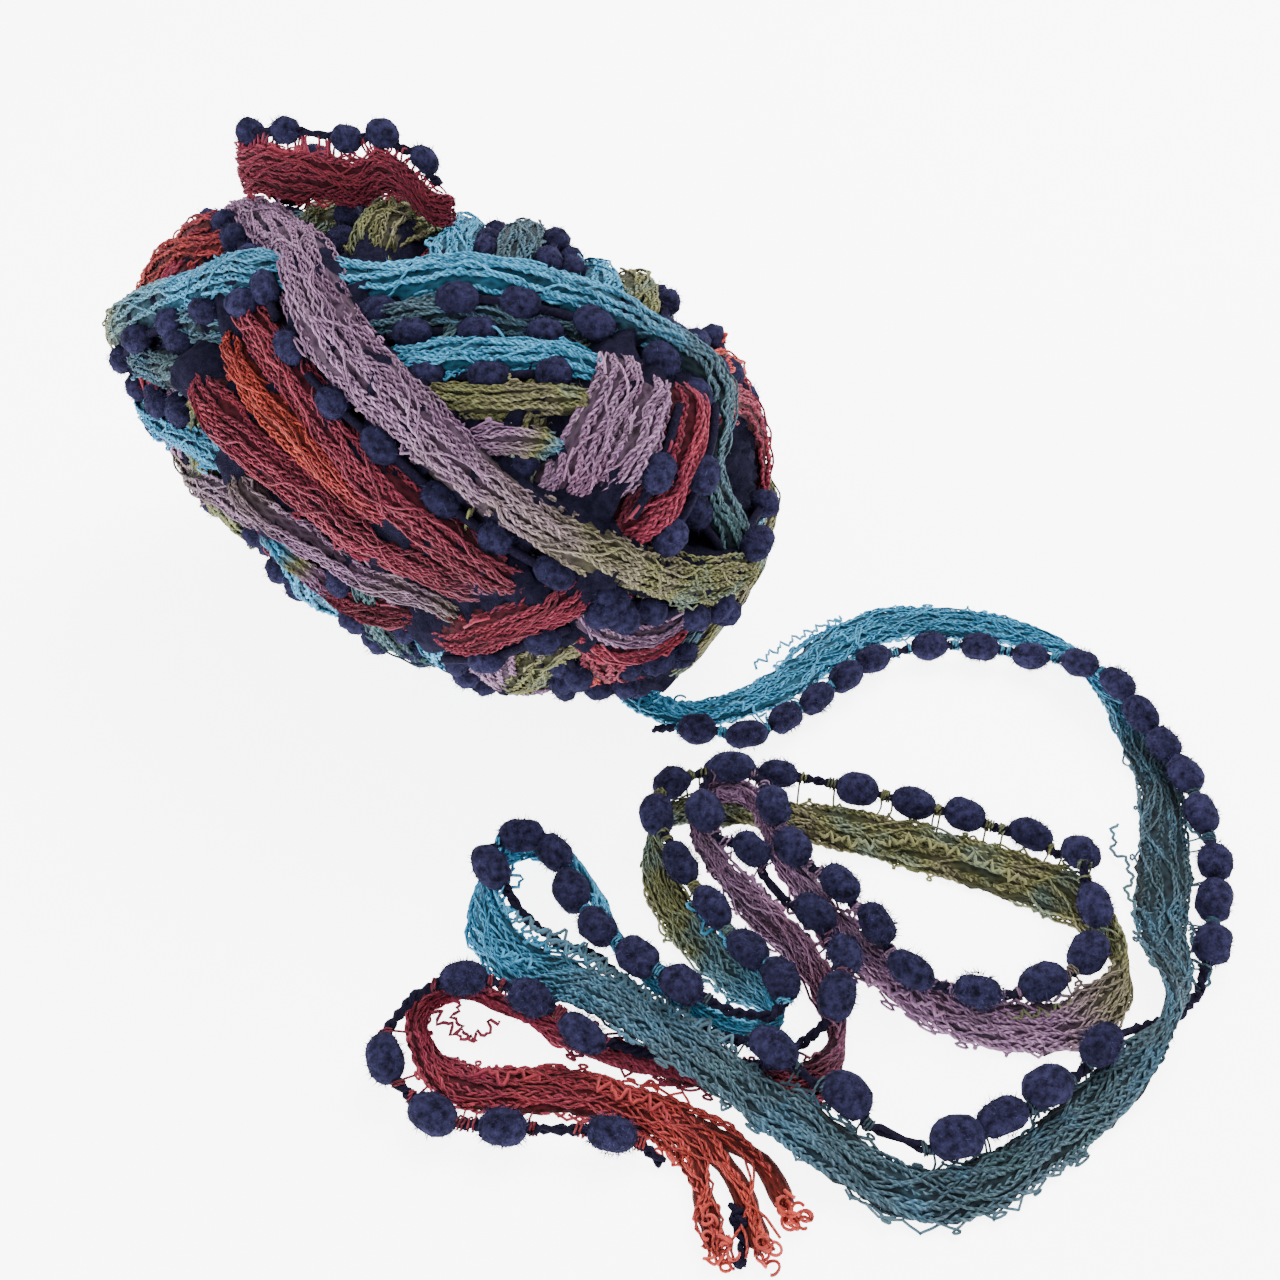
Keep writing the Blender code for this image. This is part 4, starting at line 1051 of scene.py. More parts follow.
def bindings(dice, line, places, headings, half):
    """Lines (2 * count, 16, 3) of the thin threads wound two or three times round the string at both ends of
    every pompom."""
    ends = np.concatenate([places + s * (half + 0.7) * headings for s in (-1.0, 1.0)])
    ends = line[distances(ends, line).argmin(axis=1)]
    heading = np.concatenate([headings, headings])
    side = unit(np.cross(heading, NEARLY_UPRIGHT))
    up = np.cross(side, heading)
    turn = np.linspace(0.0, 1.0, 16) * math.tau * dice.uniform(1.6, 2.8, (len(ends), 1))
    turn = (turn + dice.uniform(0.0, math.tau, (len(ends), 1)))[..., None]
    climb = (np.linspace(-0.6, 0.6, 16) * dice.uniform(0.6, 1.5, (len(ends), 1)))[..., None]
    ring = np.cos(turn) * side[:, None] + np.sin(turn) * up[:, None]
    return ends[:, None] + climb * heading[:, None] + 1.3 * ring


def tie_lines(dice, spots, edge, sway):
    """Lines (count, 7, 3) of threads from spots to the nearest points of a ribbon's edge, bowed by a chance
    sway, and the places of those points on the edge."""
    near = distances(spots, edge).argmin(axis=1)
    t = np.linspace(0.0, 1.0, 7)[None, :, None]
    lines = spots[:, None] * (1.0 - t) + edge[near][:, None] * t
    return lines + sway * dice.normal(size=(len(lines), 1, 3)) * np.sin(math.pi * t), near


tail_tree, ball_tree = solid_tree("tail_ribbon"), solid_tree("wound_ball")
tail_string, tail_places, tail_headings = string_line(
    TAIL_STRING, table_level, [tail_tree, ball_tree], POMPOM_RADIUS, POMPOM_HALF_LENGTH)
plies = off_table(two_ply(tail_string), CORD_HEIGHT)
cord_batches = [tubes(plies, CORD_PLY_RADIUS, NEARLY_UPRIGHT, 0.0, 1.0, PLY_SIDES)]
stub = two_ply(smooth_route(STUB, 0.8)[0])
cord_batches.append(tubes(stub, PLY_RADIUS, NEARLY_UPRIGHT, 0.0, 1.0, PLY_SIDES))
knots = off_table(curls(dice, KNOTS, size=0.9, count=7, spread=0.5), CORD_HEIGHT)
cord_batches.append(tubes(knots, KNOT_RADIUS, NEARLY_UPRIGHT, 0.0, 1.0, PLY_SIDES))
cord = woollen("loose_end_cord", cord_batches, navy_cord)
batches = pompoms(dice, tail_places, tail_headings, FELT_RADIUS, FELT_HALF_LENGTH,
                  shades=(0.85, 1.15), hairs=FELT_HAIRS)
tail_pompoms = woollen("loose_end_pompoms", batches, navy_felt)
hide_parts("tail_pompoms")
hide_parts("tail_pompoms")

# The thin wool ties between the string and the ribbon's edge, one at each end of a pompom, and the threads
# wound round the string there.
spots = np.concatenate([tail_places + 0.95 * s * POMPOM_HALF_LENGTH * tail_headings for s in (-1.0, 1.0)])
edge = tail_lie.middle + (tail_lie.half * 0.8)[:, None] * tail_lie.across
ties, near = tie_lines(dice, spots, edge, sway=0.5)
short = np.linalg.norm(spots - edge[near], axis=1) < LONGEST_TIE
ties = off_table(ties, LOOSE_HEIGHT)[short]
tie_batches = [tubes(ties, TIE_RADIUS, TIE_REFERENCE, tail_dye[near[short]][:, None], 1.0)]
bound = off_table(bindings(dice, tail_string, tail_places, tail_headings, FELT_HALF_LENGTH), LOOSE_HEIGHT)
near = distances(bound[:, 0], edge).argmin(axis=1)
tie_batches.append(tubes(bound, TIE_RADIUS, TIE_REFERENCE, tail_dye[near][:, None],
                         dice.uniform(0.5, 1.0, (len(bound), 1))))
tail_ties = woollen("loose_end_ties", tie_batches, thread_wool)

# The wound ball
# The ball is the same ribbon and string, wound turn over turn round a soft core: turns straight across it,
# and over them the long turns that the photograph shows. The core's form is the solid's.

BALL_CENTRE = np.array([-49.0, 17.5, 46.6])
BALL_TURN = -29.0
BALL_DIP = -8.3
HALF_LENGTH = 79.0
RADIUS = 44.5
FULLER_RIGHT = 0.20
FULLER_BACK = 0.07
FULLEST_AT = -50.0
END_ROUNDING = 0.39
RIGHT_END_LIFT = 7.0
LEFT_END_LIFT = 1.0
BLUNT_FROM = (-86.0, 76.0)

CROSS_FIRST = -76.0
CROSS_STEP = 9.5
CROSS_WIDTH = 10.0
CROSS_RISE = 3.5
CROSS_SLANT = 7.0
CROSS_LIMIT = 82.0
CROSS_DYES = (1.0, 0.4, 1.0, 3.0, 6.0, 4.0, 1.2, 4.0, 5.0, 6.0, 6.3, 5.0, 4.0, 3.0, 0.2, 1.0, 4.6)
STRING_SPACING = 13.0
POMPOM_RISE = 5.6
POMPOM_SPREAD = 5.6
HOLLOW_AT = (74.0, 14.0)
HOLLOW_RADIUS = 15.0
HOLLOW_DEPTH = 12.0
# Painted shade in the ball's hollow: wool there is darker and its dye drawn towards dark teal.
HOLLOW_SHADE = 0.6
HOLLOW_SHADE_RADIUS = 17.0
HOLLOW_SHADE_DYE = 6.2

# Bands over the cross turns, lowest first: width, rise, side of the pompoms (1 right, -1 left, 0 none in
# sight, seen from outside and going along it), dyes spaced evenly along it, and its points (along the ball's
# long axis, angle around it from the top to the front). The first LOWER_BANDS are a piece, the rest another.
LOWER_BANDS = 20
BANDS = (
    (10, 5, 0, (6.0, 6.0, 4.4, 4.2),
     ((-28, 36), (-48, 42), (-66, 50), (-80, 80), (-80, 170), (-62, 215), (-30, 235))),
    (10, 5, 1, (6.0, 6.0, 5.6, 4.0),
     ((-24, 50), (-44, 58), (-64, 70), (-78, 105), (-74, 170), (-50, 200), (-20, 210))),
    (9, 5, 1, (5.3, 5.0, 5.0, 4.0), ((-18, 73), (-34, 77), (-54, 92), (-72, 125), (-66, 165), (-40, 180))),
    (9, 4, 0, (3.1, 3.6, 4.0), ((-10, 84), (-26, 90), (-44, 108), (-52, 130), (-30, 160))),
    (9, 6, 1, (0.6, 0.3, 0.2, 1.0, 1.6),
     ((-44, 4), (-62, 8), (-76, 10), (-82, -40), (-70, -90), (-40, -110))),
    (8, 6, 1, (1.0, 0.5, 0.8, 1.0), ((-50, -6), (-66, -12), (-76, -45), (-66, -100), (-44, -130))),
    (10, 5, 1, (1.0, 1.2, 2.0, 3.0, 3.0),
     ((-30, -34), (-56, -42), (-76, -70), (-80, -140), (-66, -190), (-40, -215))),
    (9, 5, -1, (4.0, 4.0, 4.1), ((-56, -95), (-44, -45), (-35, -12), (-30, 16))),
    (10, 5, 0, (4.0, 4.0, 4.0), ((-44, -110), (-31, -60), (-22, -28), (-12, 9))),
    (10, 5, -1, (5.0, 5.0, 5.0), ((-30, -115), (-19, -60), (-10, -30), (3, 2))),
    (9, 5, -1, (6.0, 6.0, 6.0), ((-14, -115), (-5, -60), (4, -30), (14, -2))),
    (9, 5, 1, (5.0, 5.0, 5.0), ((6, -115), (13, -60), (20, -34), (31, -8))),
    (8, 5, -1, (4.0, 4.0, 4.0), ((16, -115), (21, -64), (27, -38), (40, -11))),
    (10, 5, -1, (3.0, 3.0, 3.8, 4.0), ((-66, -90), (-34, -78), (0, -74), (36, -80), (64, -94), (78, -130))),
    (10, 5, 1, (0.4, 1.0, 1.0, 1.8), ((-60, -120), (-28, -104), (8, -100), (44, -106), (70, -126))),
    (9, 4, 0, (4.0, 4.0, 4.9, 5.0), ((-40, -140), (-10, -128), (22, -126), (52, -134))),
    (8, 4, 0, (6.0, 6.0, 6.0), ((-16, 29), (0, 20), (10, 11), (20, 7), (30, 2), (40, -3), (50, -9))),
    (9, 5, -1, (5.2, 5.0, 5.0), ((2, 33), (10, 27), (18, 20), (30, 13), (40, 9), (47, 7))),
    (8, 5, -1, (3.8, 4.0, 4.0), ((8, 40), (17, 33), (28, 27), (37, 21), (47, 15))),
    (7, 4, 0, (3.0, 3.0, 5.3), ((22, 42), (34, 34), (46, 30))),
    (8, 5, -1, (3.0, 3.0, 2.8), ((40, 2), (44, 12), (46, 24), (48, 34), (50, 44))),
    (7, 5, -1, (2.8, 3.0, 2.9), ((48, 2), (51, 13), (53, 21), (54, 30), (54, 40))),
    (9, 5, -1, (1.0, 1.0, 1.2), ((52, -4), (57, 5), (61, 16), (63, 29), (62, 40), (59, 52))),
    (8, 4, 0, (6.8, 1.8, 2.0, 1.6), ((-12, 82), (-4, 90), (5, 96), (16, 94), (28, 90), (44, 92))),
    (8, 4, 0, (4.0, 4.0, 4.0), ((58, 64), (57, 78), (55, 92), (50, 108), (40, 124))),
    (7, 5, 0, (3.6, 3.0, 3.2, 4.0), ((-20, 73), (-8, 79), (4, 81), (16, 82), (28, 81), (40, 84))),
    (7, 5, -1, (3.0, 3.0, 3.3), ((54, 68), (60, 76), (66, 81), (73, 83), (79, 84))),
    (7, 4, 0, (1.0, 1.0, 0.9), ((56, 80), (63, 86), (70, 89), (77, 92))),
    (13, 6, 0, (1.0, 1.0, 1.2, 1.4, 2.5),
     ((-34, 54), (-21, 61), (-9, 64), (1, 66), (12, 69), (22, 70), (32, 71), (42, 70))),
    (8, 5, 0, (0.2, 0.0, 0.0, 0.4, 1.0),
     ((-30, 37), (-24, 44), (-16, 50), (-7, 54), (0, 56), (8, 59), (20, 63))),
    (10, 6, -1, (1.0, 0.9, 1.0, 1.3, 2.2),
     ((-34, 26), (-24, 33), (-16, 38), (-7, 44), (1, 49), (10, 54), (19, 58), (29, 62), (39, 65), (46, 67))),
    (10, 5, 1, (1.2, 1.0, 1.0), ((28, 92), (36, 86), (44, 77), (52, 67), (57, 60))),
    (11, 6, 1, (3.9, 4.2, 4.8, 5.3, 5.1, 5.0, 5.3, 5.9, 6.1, 6.1, 6.0, 6.0),
     ((-78, 100), (-76, 80), (-70, 66), (-62, 50), (-54, 38), (-43, 30), (-29, 24), (-10, 15), (5, 5),
      (21, -3), (41, -7), (57, -9), (66, -6), (74, -1), (80, 12), (82, 45), (80, 85), (72, 120))),
    (13, 6, 1, (2.6, 3.0, 3.0, 3.0, 3.1, 3.8, 4.0, 4.0, 4.0),
     ((-66, -40), (-52, -16), (-40, 0), (-21, 15), (-6, 30), (12, 38), (31, 46), (49, 51), (62, 54), (74, 58),
      (82, 68), (82, 110), (70, 140))),
)


def ball_axes():
    """The ball's long axis, its level cross axis to the front, and the one square to both, upwards."""
    turn, dip = math.radians(BALL_TURN), math.radians(BALL_DIP)
    along = np.array([math.cos(turn) * math.cos(dip), math.sin(turn) * math.cos(dip), math.sin(dip)])
    front = np.array([math.sin(turn), -math.cos(turn), 0.0])
    return np.array([along, front, np.cross(front, along)])


AXES = ball_axes()


def core_radius(along, around):
    """Radius of the core along and around its long axis: a blunt oval, fuller to the right and the back."""
    share = np.clip(along / HALF_LENGTH, -1.0, 1.0)
    back = 1.0 + FULLER_BACK * np.cos(np.radians(around - FULLEST_AT))
    return RADIUS * (1.0 - share * share) ** END_ROUNDING * (1.0 + FULLER_RIGHT * share) * back


def directions_at(along, around):
    """Unit directions from the ball's centre to the core's surface, in the ball's own axes."""
    angle = np.radians(around)
    radius = core_radius(along, around)
    return unit(np.stack([along, radius * np.sin(angle), radius * np.cos(angle)], axis=-1))


def core_distance(directions):
    """Distance from the ball's centre to its core's surface along each direction, by halving."""
    low = np.zeros(directions.shape[:-1])
    high = np.full(directions.shape[:-1], 1.2 * HALF_LENGTH)
    across = np.hypot(directions[..., 1], directions[..., 2])
    around = np.degrees(np.arctan2(directions[..., 1], directions[..., 2]))
    for _ in range(22):
        middle = 0.5 * (low + high)
        along = middle * directions[..., 0]
        inside = (np.abs(along) < HALF_LENGTH) & (middle * across < core_radius(along, around))
        low = np.where(inside, middle, low)
        high = np.where(inside, high, middle)
    return low


def on_ball(directions, height):
    """Points at a height above the core, blunted and lifted at the ball's ends as the solid is."""
    places = directions * (core_distance(directions) + height)[..., None]
    share = places[..., 0] / HALF_LENGTH
    places[..., 0] = 0.5 * (places[..., 0] + np.clip(places[..., 0], *BLUNT_FROM))
    places[..., 2] += np.where(share > 0.0, RIGHT_END_LIFT, LEFT_END_LIFT) * share**2
    return BALL_CENTRE + places @ AXES


def route_on_core(points, spacing=3.0):
    """Points of the core's surface along a band, in the ball's axes, and its run."""
    points = np.asarray(points, float)
    ways = directions_at(points[:, 0], points[:, 1])
    route, _, run = smooth_route(ways * core_distance(ways)[:, None], spacing)
    route = unit(route)
    return route * core_distance(route)[:, None], run


def cross_turn(number):
    """The points of one turn across the ball, slanted the other way from its neighbours."""
    slant = CROSS_SLANT if number % 2 else -CROSS_SLANT
    around = np.arange(180.0, 541.0, 30.0)
    along = CROSS_FIRST + CROSS_STEP * number + slant * np.sin(np.radians(around + 40.0 * number))
    return np.stack([np.clip(along, -CROSS_LIMIT, CROSS_LIMIT), around], axis=1)


def bulge(share, least=0.0):
    """A turn's height over its rise at a share of its half width: (1 - share^2)^0.7."""
    return np.clip(1.0 - share**2, least, 1.0) ** 0.7


# The winding's height over the core at 180 by 130 samples. Each winding lies on what is under it: its height
# along its route is the mean of the relief near the route. The relief holds the pompoms too, wool only turns.
ALONG_ROWS = HALF_LENGTH * np.sin(np.linspace(-0.4999, 0.4999, 130) * math.pi)
AROUND_STEP = 2.0
AROUND_COLUMNS = np.arange(180) * AROUND_STEP
sample_ways = directions_at(*np.broadcast_arrays(ALONG_ROWS[:, None], AROUND_COLUMNS[None]))
samples = (sample_ways * core_distance(sample_ways)[..., None]).reshape(-1, 3)
hollow = directions_at(*(np.array([value]) for value in HOLLOW_AT))
hollow = hollow * core_distance(hollow)[:, None]
relief, wool = np.zeros(len(samples)), np.zeros(len(samples))
windings = [(CROSS_WIDTH, CROSS_RISE, 1, (dye, dye), cross_turn(number))
            for number, dye in enumerate(CROSS_DYES)]
windings += BANDS
laid, strings, ball_pompoms = [], [], []
buried = np.zeros(0, bool)
for number, (width, rise, side, dyes, points) in enumerate(windings):
    if number == len(CROSS_DYES):
        dent = HOLLOW_DEPTH * bell(np.linalg.norm(samples - hollow, axis=1), HOLLOW_RADIUS)
        relief, wool = relief - dent, wool - dent
    route, run = route_on_core(points)
    gaps = distances(samples, route)
    near = bell(gaps, 0.35 * width)
    under = (near * relief[:, None]).sum(axis=0) / near.sum(axis=0)
    spread = bell(np.subtract.outer(np.arange(len(route)), np.arange(len(route))), 3.0)
    under = spread @ under / spread.sum(axis=1)
    share = gaps.min(axis=1) / (0.5 * width)
    top = under[gaps.argmin(axis=1)] + rise * bulge(share)
    wool = np.where(share < 1.0, np.maximum(wool, top), wool)
    relief = np.where(share < 1.0, np.maximum(relief, top), relief)
    laid.append((route, under, np.interp(run, np.linspace(0.0, run[-1], len(dyes)), dyes)))
    if ball_pompoms:
        spots = np.array([spot for spot, _, _ in ball_pompoms])
        buried |= distances(spots, route).min(axis=1) < 0.5 * width + 0.8
    if side:
        along = unit(np.gradient(route, axis=0))
        row = route + side * (0.5 * width + 0.3 * POMPOM_RADIUS) * np.cross(unit(route), along)
        strings.append((row, under))
        row_run = run_along(row)
        for at in np.arange(0.5 * STRING_SPACING, row_run[-1], STRING_SPACING):
            i = int(np.searchsorted(row_run, at))
            gap = np.linalg.norm(samples - row[i], axis=1)
            top = under[i] + POMPOM_RISE * np.clip(1.0 - (gap / POMPOM_SPREAD) ** 2, 0.0, 1.0)
            relief = np.where(gap < POMPOM_SPREAD, np.maximum(relief, top), relief)
            ball_pompoms.append((row[i], along[i], under[i]))
        buried = np.concatenate([buried, np.zeros(len(ball_pompoms) - len(buried), bool)])
wool_grid = wool.reshape(len(ALONG_ROWS), len(AROUND_COLUMNS))


def wool_at(directions):
    """Height of the finished turns above the core in given directions, from the nearest sample."""
    distance = core_distance(directions)
    row = np.interp(distance * directions[..., 0], ALONG_ROWS, np.arange(len(ALONG_ROWS)))
    column = np.degrees(np.arctan2(directions[..., 1], directions[..., 2])) / AROUND_STEP
    return wool_grid[np.rint(row).astype(int), np.rint(column).astype(int) % len(AROUND_COLUMNS)]


def covered(route, left, aside, height):
    """How far the finished turns stand over points aside of a route, at a height above the core."""
    return wool_at(unit(route + aside[..., None] * left)) - height


def in_hollow(points):
    """How far points of the core are in the ball's hollow, where wool gets painted shade: 0 to 1 at its
    middle.
    """
    return bell(np.linalg.norm(points - hollow, axis=1), HOLLOW_SHADE_RADIUS)


# What shows between the turns: navy pompoms and wool of the turns below, a little under their cords, as one
# near-black navy shell in painted shade, darker still in the hollow.
rough = np.random.default_rng(3).normal(size=wool_grid.shape)
ground = off_table(on_ball(sample_ways, wool_grid - 2.0 + 0.8 * rough)[:, ::2], 0.02)
painted_hollow_shade = (1.0 - HOLLOW_SHADE * in_hollow(samples)).reshape(wool_grid.shape)[:, ::2].ravel()
rows, columns = ground.shape[:2]
index = np.arange(rows * columns).reshape(rows, columns)
quads = np.stack([index[:-1], np.roll(index[:-1], -1, 1), np.roll(index[1:], -1, 1), index[1:]], axis=-1)
faces = [quads.reshape(-1, 4), index[0][None, ::-1], index[-1][None]]
shell = ground.reshape(-1, 3), faces, np.zeros((quads.size + 2 * columns, 2)), 0.0, painted_hollow_shade
wool_in_painted_shade = navy_material("wool_in_painted_shade", (0.0050, 0.0042, 0.0110), (0.0130, 0.0115, 0.0270),
                          roughness=1.0, scale=900.0)
ball_ground = woollen("ball_ground", [shell], wool_in_painted_shade)
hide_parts("wound_ball")

# How a kind of turn is dressed: the step along it, the width of a cord, its stray threads, how deep under
# other wool a cord still shows, a cord's stitch and size, what its threads are thicker by, and the share of
# the points of its edge in sight that a bowed thread leaves from.
TurnKind = namedtuple("TurnKind", "step cord_width strays deepest stitch size thicker bows")
CROSS_KIND = TurnKind(1.4, 2.2, 1, 1.1, 7.4, 1.0, 0.04, 0.05)
OVER_KIND = TurnKind(1.0, 1.7, 3, 1.7, 5.8, 0.88, -0.03, 0.13)
DIVE_RUN = 9.0
DIVE = 4.5
WIDEST_FULL = 12
BALL_STRAY_RADIUS = 0.3
FUZZ_SHARE = 0.08
NEARLY_BACK = (0.02, 1.0, 0.1)

# The turns' threads: plaited cords side by side, single threads straying over them, and curled bows along
# the edges. A turn dives under its neighbours at both ends. Threads buried by later turns are left out.
dice = np.random.default_rng(11)
turn_batches, inside_batches, fuzz_batches, loop_batches = ([], [], []), [], [], []
for number, (width, rise, _, _, points) in enumerate(windings):
    cross = number < len(CROSS_DYES)
    kind = CROSS_KIND if cross else OVER_KIND
    coarse_route, under, dye = laid[number]
    route, run = route_on_core(points, kind.step)
    closeness = bell(distances(route, coarse_route), 2.5)
    under = closeness @ under / closeness.sum(axis=1)
    dye = closeness @ dye / closeness.sum(axis=1)
    outward = unit(route)
    left = np.cross(outward, unit(np.gradient(route, axis=0)))
    to_end = np.ones(len(run)) if cross else np.clip(np.minimum(run, run[-1] - run) / DIVE_RUN, 0.0, 1.0)
    base = under - DIVE * (1.0 - to_end) ** 2
    half = (0.5 if width < WIDEST_FULL else 0.45) * width * (0.62 + 0.38 * np.sqrt(to_end))
    # Painted shade in the hollow: darker threads and a dye drawn towards dark teal.
    hollow_near = in_hollow(route) if cross else 0.0 * run
    painted_hollow_shade = 1.0 - HOLLOW_SHADE * hollow_near
    dye = dye + (HOLLOW_SHADE_DYE - dye) * hollow_near

    # The cords and the stray threads: where each is across the turn and over the core, and where it shows.
    cords = max(int(round(width / kind.cord_width)), 3)
    spread = cord_ranks(cords)[:, None] + wander(dice, cords, run, ((53.0, 0.09), (21.0, 0.05), (9.0, 0.03)))
    aside = half * np.clip(spread, -1, 1)
    own = base + rise * bulge(aside / half, 0.02) - 0.75
    own = own + wander(dice, cords, run, ((27.0, 0.22), (9.0, 0.14)))
    deepest = kind.deepest + 2.0 * np.clip((np.abs(route[:, 0]) - 62.0) / 25.0, 0.0, 1.0)
    seen = covered(route, left, aside, own) < deepest
    seen = seen | np.roll(seen, 3, 1) | np.roll(seen, -3, 1)
    swing, dip = plait(dice, cords, run, kind.stitch, kind.size)
    waves = ((75.0, 0.6), (27.0, 0.3), (9.0, 0.07), (5.0, 0.03))
    loose = np.clip(wander(dice, kind.strays, run, waves), -0.97, 0.97)
    over = base + rise * bulge(loose) + 0.15
    over = over + wander(dice, kind.strays, run, ((8.0, 0.3),))
    loose_seen = covered(route, left, loose * half, over) < 0.9
    beside = np.vstack([(aside[:, None] + swing).reshape(-1, len(run)), loose * half])
    above = np.vstack([(own[:, None] + dip).reshape(-1, len(run)), over])
    kept = np.vstack([np.repeat(seen, 3, axis=0), loose_seen])
    if not kept.any():
        continue
    lines = off_table(on_ball(unit(route + beside[..., None] * left), above), THREAD_RADIUS + 0.02)
    world_out = outward @ AXES

    # The turn's inside, an oval tube that is bent over the ball as its threads are, dark with painted shade.
    breath = 1.0 + wander(dice, 2, run, ((31.0, 0.06), (8.0, 0.05), (4.3, 0.05)))
    t = math.tau * np.arange(INSIDE_SIDES) / INSIDE_SIDES
    aside = ((0.9 * half * breath[0])[::2, None] * np.cos(t))[..., None] * left[::2, None]
    height = base[::2, None] + ((rise - 1.25) * breath[1])[::2, None] * np.sin(t)
    rings = on_ball(unit(route[::2, None] + aside), height)
    inside = skin(rings[None], dye[::2], painted_hollow_shade[::2], (kept.sum(axis=0) > 3)[::2])
    off_table(inside[0], SKIM)
    inside_batches.append(inside)

    # Its threads and fuzz, and the bows along its edges.
    of_cords = np.arange(len(lines)) < 3 * cords
    radius = np.where(of_cords, THREAD_RADIUS + kind.thicker, BALL_STRAY_RADIUS)
    shade = dice.uniform(0.65, 1.3, (len(lines), 1))
    shade = shade + wander(dice, len(lines), run, ((18.0, 0.15), (6.0, 0.1)))
    # Painted shade where the cords' threads dip, painted light where they lie high.
    shade[:3 * cords] += dip_shade(dip)
    piece = 0 if cross else 1 + (number >= len(CROSS_DYES) + LOWER_BANDS)
    turn_batches[piece].append(tubes(lines, radius[:, None, None], world_out, dye, shade * painted_hollow_shade, keep=kept))
    spots = np.flatnonzero(kept.ravel())
    line, point = np.divmod(dice.choice(spots, int(len(spots) * FUZZ_SHARE)), len(run))
    roots = lines[line, point]
    fuzz_batches.append(fuzz(dice, roots, world_out[point], reach=1.5, width=0.08, dye=dye[point]))
    flat = base + 0.35 * rise
    lie = Lie(on_ball(outward, flat), left @ AXES, world_out, half, run)
    for edge, rim in ((1.0, seen[-1]), (-1.0, seen[0])):
        spots = np.flatnonzero(rim & (covered(route, left, edge * half, flat) < 1.0))
        count = int(len(spots) * kind.bows)
        if not count:
            continue
        loops, at = edge_loops(dice, lie, run[dice.choice(spots, count)], reach=1.9, edge=edge, lift=0.9)
        loop_batches.append(tubes(off_table(loops, LOOSE_HEIGHT), BOW_RADIUS, NEARLY_BACK,
                                  np.interp(at, run, dye), dice.uniform(0.75, 1.25, (count, 1))))
woollen("ball_turns_inside", inside_batches, inner_wool_painted_shade)
for name, batches in zip(("ball_cross_turns", "ball_lower_turns", "ball_outer_turns"), turn_batches):
    woollen(name, batches, thread_wool)
woollen("ball_edge_loops", loop_batches, fuzz_wool)
woollen("ball_fuzz", fuzz_batches, fuzz_wool)

# The string beside the turns, and its pompoms, where no later turn buries them. They are a little smaller
# here than on the loose end, wound tight.
BALL_FELT_RADIUS = 3.3
BALL_FELT_HALF_LENGTH = 4.3
BALL_CORD_RADIUS = 1.05
BALL_HAIRS = 150
string_batches = []
for row, under in strings:
    fine, _, _ = smooth_route(np.column_stack([row, under]), 1.3)
    ways = unit(fine[:, :3])
    seen = wool_at(ways) - fine[:, 3] < 1.6
    if seen.any():
        line = off_table(on_ball(ways, fine[:, 3] + 1.5), 1.2)
        string_batches.append(tubes(line[None], BALL_CORD_RADIUS, NEARLY_UPRIGHT, 0.0, 1.0, PLY_SIDES, seen))
woollen("ball_string", string_batches, navy_cord)

places, headings, bases = (np.array(column) for column in zip(*ball_pompoms))
ways = unit(places)
shown = (wool_at(ways) - (bases + POMPOM_RISE) < 0.6) & ~buried
centres = on_ball(ways[shown], (bases + POMPOM_RISE - POMPOM_RADIUS)[shown] + 0.2)
off_table(centres, BALL_FELT_RADIUS)
headings = unit(headings[shown] @ AXES)
batches = pompoms(dice, centres, headings, BALL_FELT_RADIUS, BALL_FELT_HALF_LENGTH,
                  shades=(0.8, 1.15), hairs=BALL_HAIRS, sides=9, rings=7)
woollen("ball_pompoms", batches, navy_felt)

# The standing loop
# The ribbon of one turn that stands on edge off the top of the ball, plaited like the others, with its
# string of small pompoms tied along its upper edge.

# Columns as in TAIL, the rise above the ball's top.
LOOP = (
    (-62.0, 66.0, 0.5, 50, 9),
    (-75.0, 63.5, 1.8, 60, 9),
    (-86.5, 57.0, 1.5, 80, 10),
    (-90.5, 49.0, 1.0, 90, 11),
    (-83.0, 43.5, 1.4, 90, 12),
    (-68.0, 41.0, 1.2, 90, 12),
    (-54.0, 38.0, 1.4, 90, 10),
    (-41.0, 33.0, 0.5, 85, 8),
)

# Columns as in TAIL_STRING, the height above the ball's top.
LOOP_STRING = (
    (-63.0, 63.0, 9.0, 0),
    (-76.0, 60.5, 10.0, 1),
    (-89.0, 55.0, 11.0, 1),
    (-86.8, 47.0, 13.8, 1),
    (-77.6, 44.2, 18.0, 1),
    (-63.8, 41.2, 17.2, 1),
    (-55.8, 39.2, 12.8, 1),
    (-49.0, 36.8, 10.2, 1),
    (-42.5, 33.5, 9.8, 0),
)

SMALL_RADIUS = 2.9
SMALL_HALF_LENGTH = 3.6
SMALL_HAIRS = 250
LOOP_CORDS = 9
LOOP_STRAYS = 14
LOOP_BOWS = 90
LOOP_BOW_RADIUS = 0.25
LOOP_TIE_RADIUS = 0.3
LOOP_FIBRES = 1500
LOOP_DYE = 1.1
DROP_FROM = 200.0


def ball_top(points):
    """Height of the ball's top under given points."""
    heights = []
    for x, y in np.asarray(points)[:, :2]:
        hit = ball_tree.ray_cast(Vector((x, y, DROP_FROM)), Vector((0.0, 0.0, -1.0)))[0]
        heights.append(hit.z if hit else 0.0)
    return np.array(heights) + CLEAR


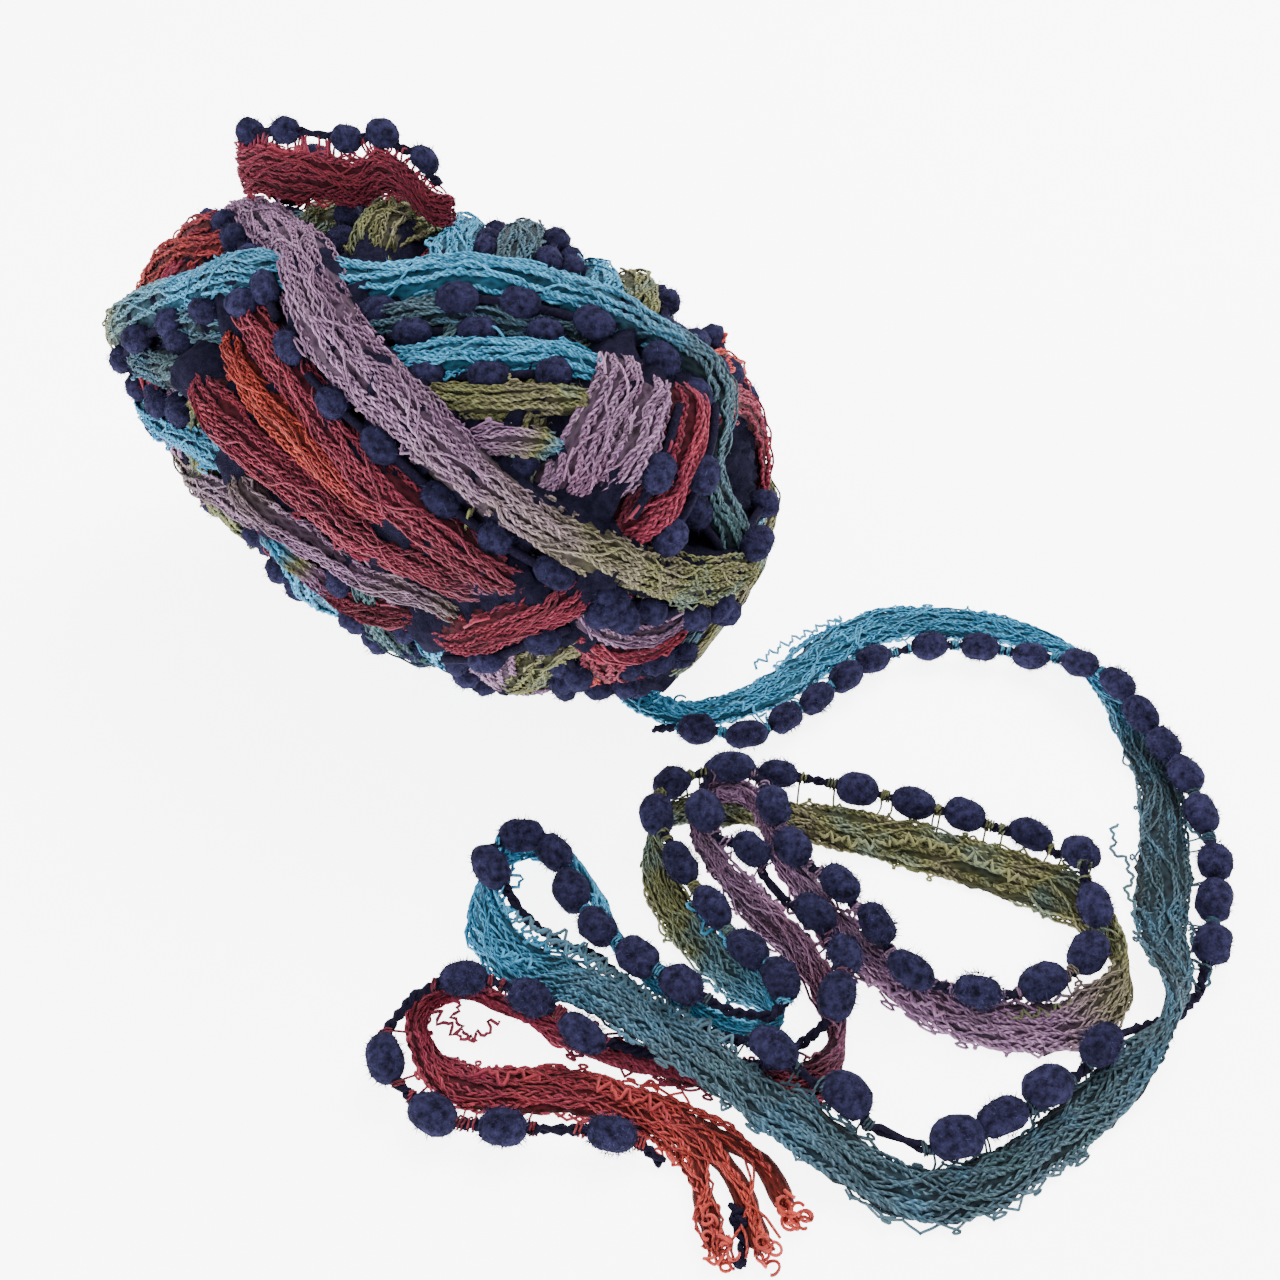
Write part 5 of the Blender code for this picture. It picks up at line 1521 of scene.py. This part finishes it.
dice = np.random.default_rng(5)
loop_lie = ribbon_lie(LOOP, ball_top)
half_lie = every_other(loop_lie)
loop_lines, loop_shade = ribbon_cords(dice, loop_lie, LOOP_CORDS, layers=0.8)
stray_lines, stray_shade = ribbon_strays(dice, half_lie, LOOP_STRAYS)
batches = [tubes(loop_lines, THREAD_RADIUS, loop_lie.through, LOOP_DYE, loop_shade),
           tubes(stray_lines, STRAY_RADIUS, half_lie.through, 1.0, stray_shade)]
standing = woollen("standing_ribbon", batches, thread_wool)
# Its inside, dark with painted shade.
inside = ribbon_inside(half_lie, 0.8 * half_lie.half, 0.8, LOOP_DYE)
woollen("standing_inside", [inside], inner_wool_painted_shade)
pick = dice.integers(0, len(loop_lines), LOOP_FIBRES), dice.integers(0, len(loop_lie.run), LOOP_FIBRES)
outward = unit(loop_lines[pick] - loop_lie.middle[pick[1]] + [0.0, -0.3, 0.3])
starts = dice.uniform(0.02, 0.97, LOOP_BOWS) * loop_lie.run[-1]
loops, _ = edge_loops(dice, loop_lie, starts, reach=1.9, edge=0)
batches = [tubes(loops, LOOP_BOW_RADIUS, NEARLY_BACK, 1.0, FIBRE_SHADE),
           fuzz(dice, loop_lines[pick], outward, reach=1.6, width=FIBRE_WIDTH, dye=LOOP_DYE)]
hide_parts("standing_loop")

loop_string, loop_places, loop_headings = string_line(
    LOOP_STRING, ball_top, [solid_tree("standing_loop"), ball_tree], SMALL_RADIUS, SMALL_HALF_LENGTH)
edge = loop_lie.middle + (loop_lie.half * 0.85)[:, None] * loop_lie.across
ties, _ = tie_lines(dice, loop_string[2:-2], edge, sway=0.6)
batches.append(tubes(ties, LOOP_TIE_RADIUS, TIE_REFERENCE, LOOP_DYE, 1.0))
woollen("standing_fuzz", batches, fuzz_wool)
plies = tubes(two_ply(loop_string), PLY_RADIUS, NEARLY_UPRIGHT, 0.0, 1.0, PLY_SIDES)
loop_cord = woollen("standing_cord", [plies], navy_cord)
batches = pompoms(dice, loop_places, loop_headings, SMALL_RADIUS, SMALL_HALF_LENGTH,
                  shades=None, hairs=SMALL_HAIRS)
loop_balls = woollen("standing_pompoms", batches, navy_felt)
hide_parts("standing_loop_pompoms")
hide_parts("standing_loop_pompoms")
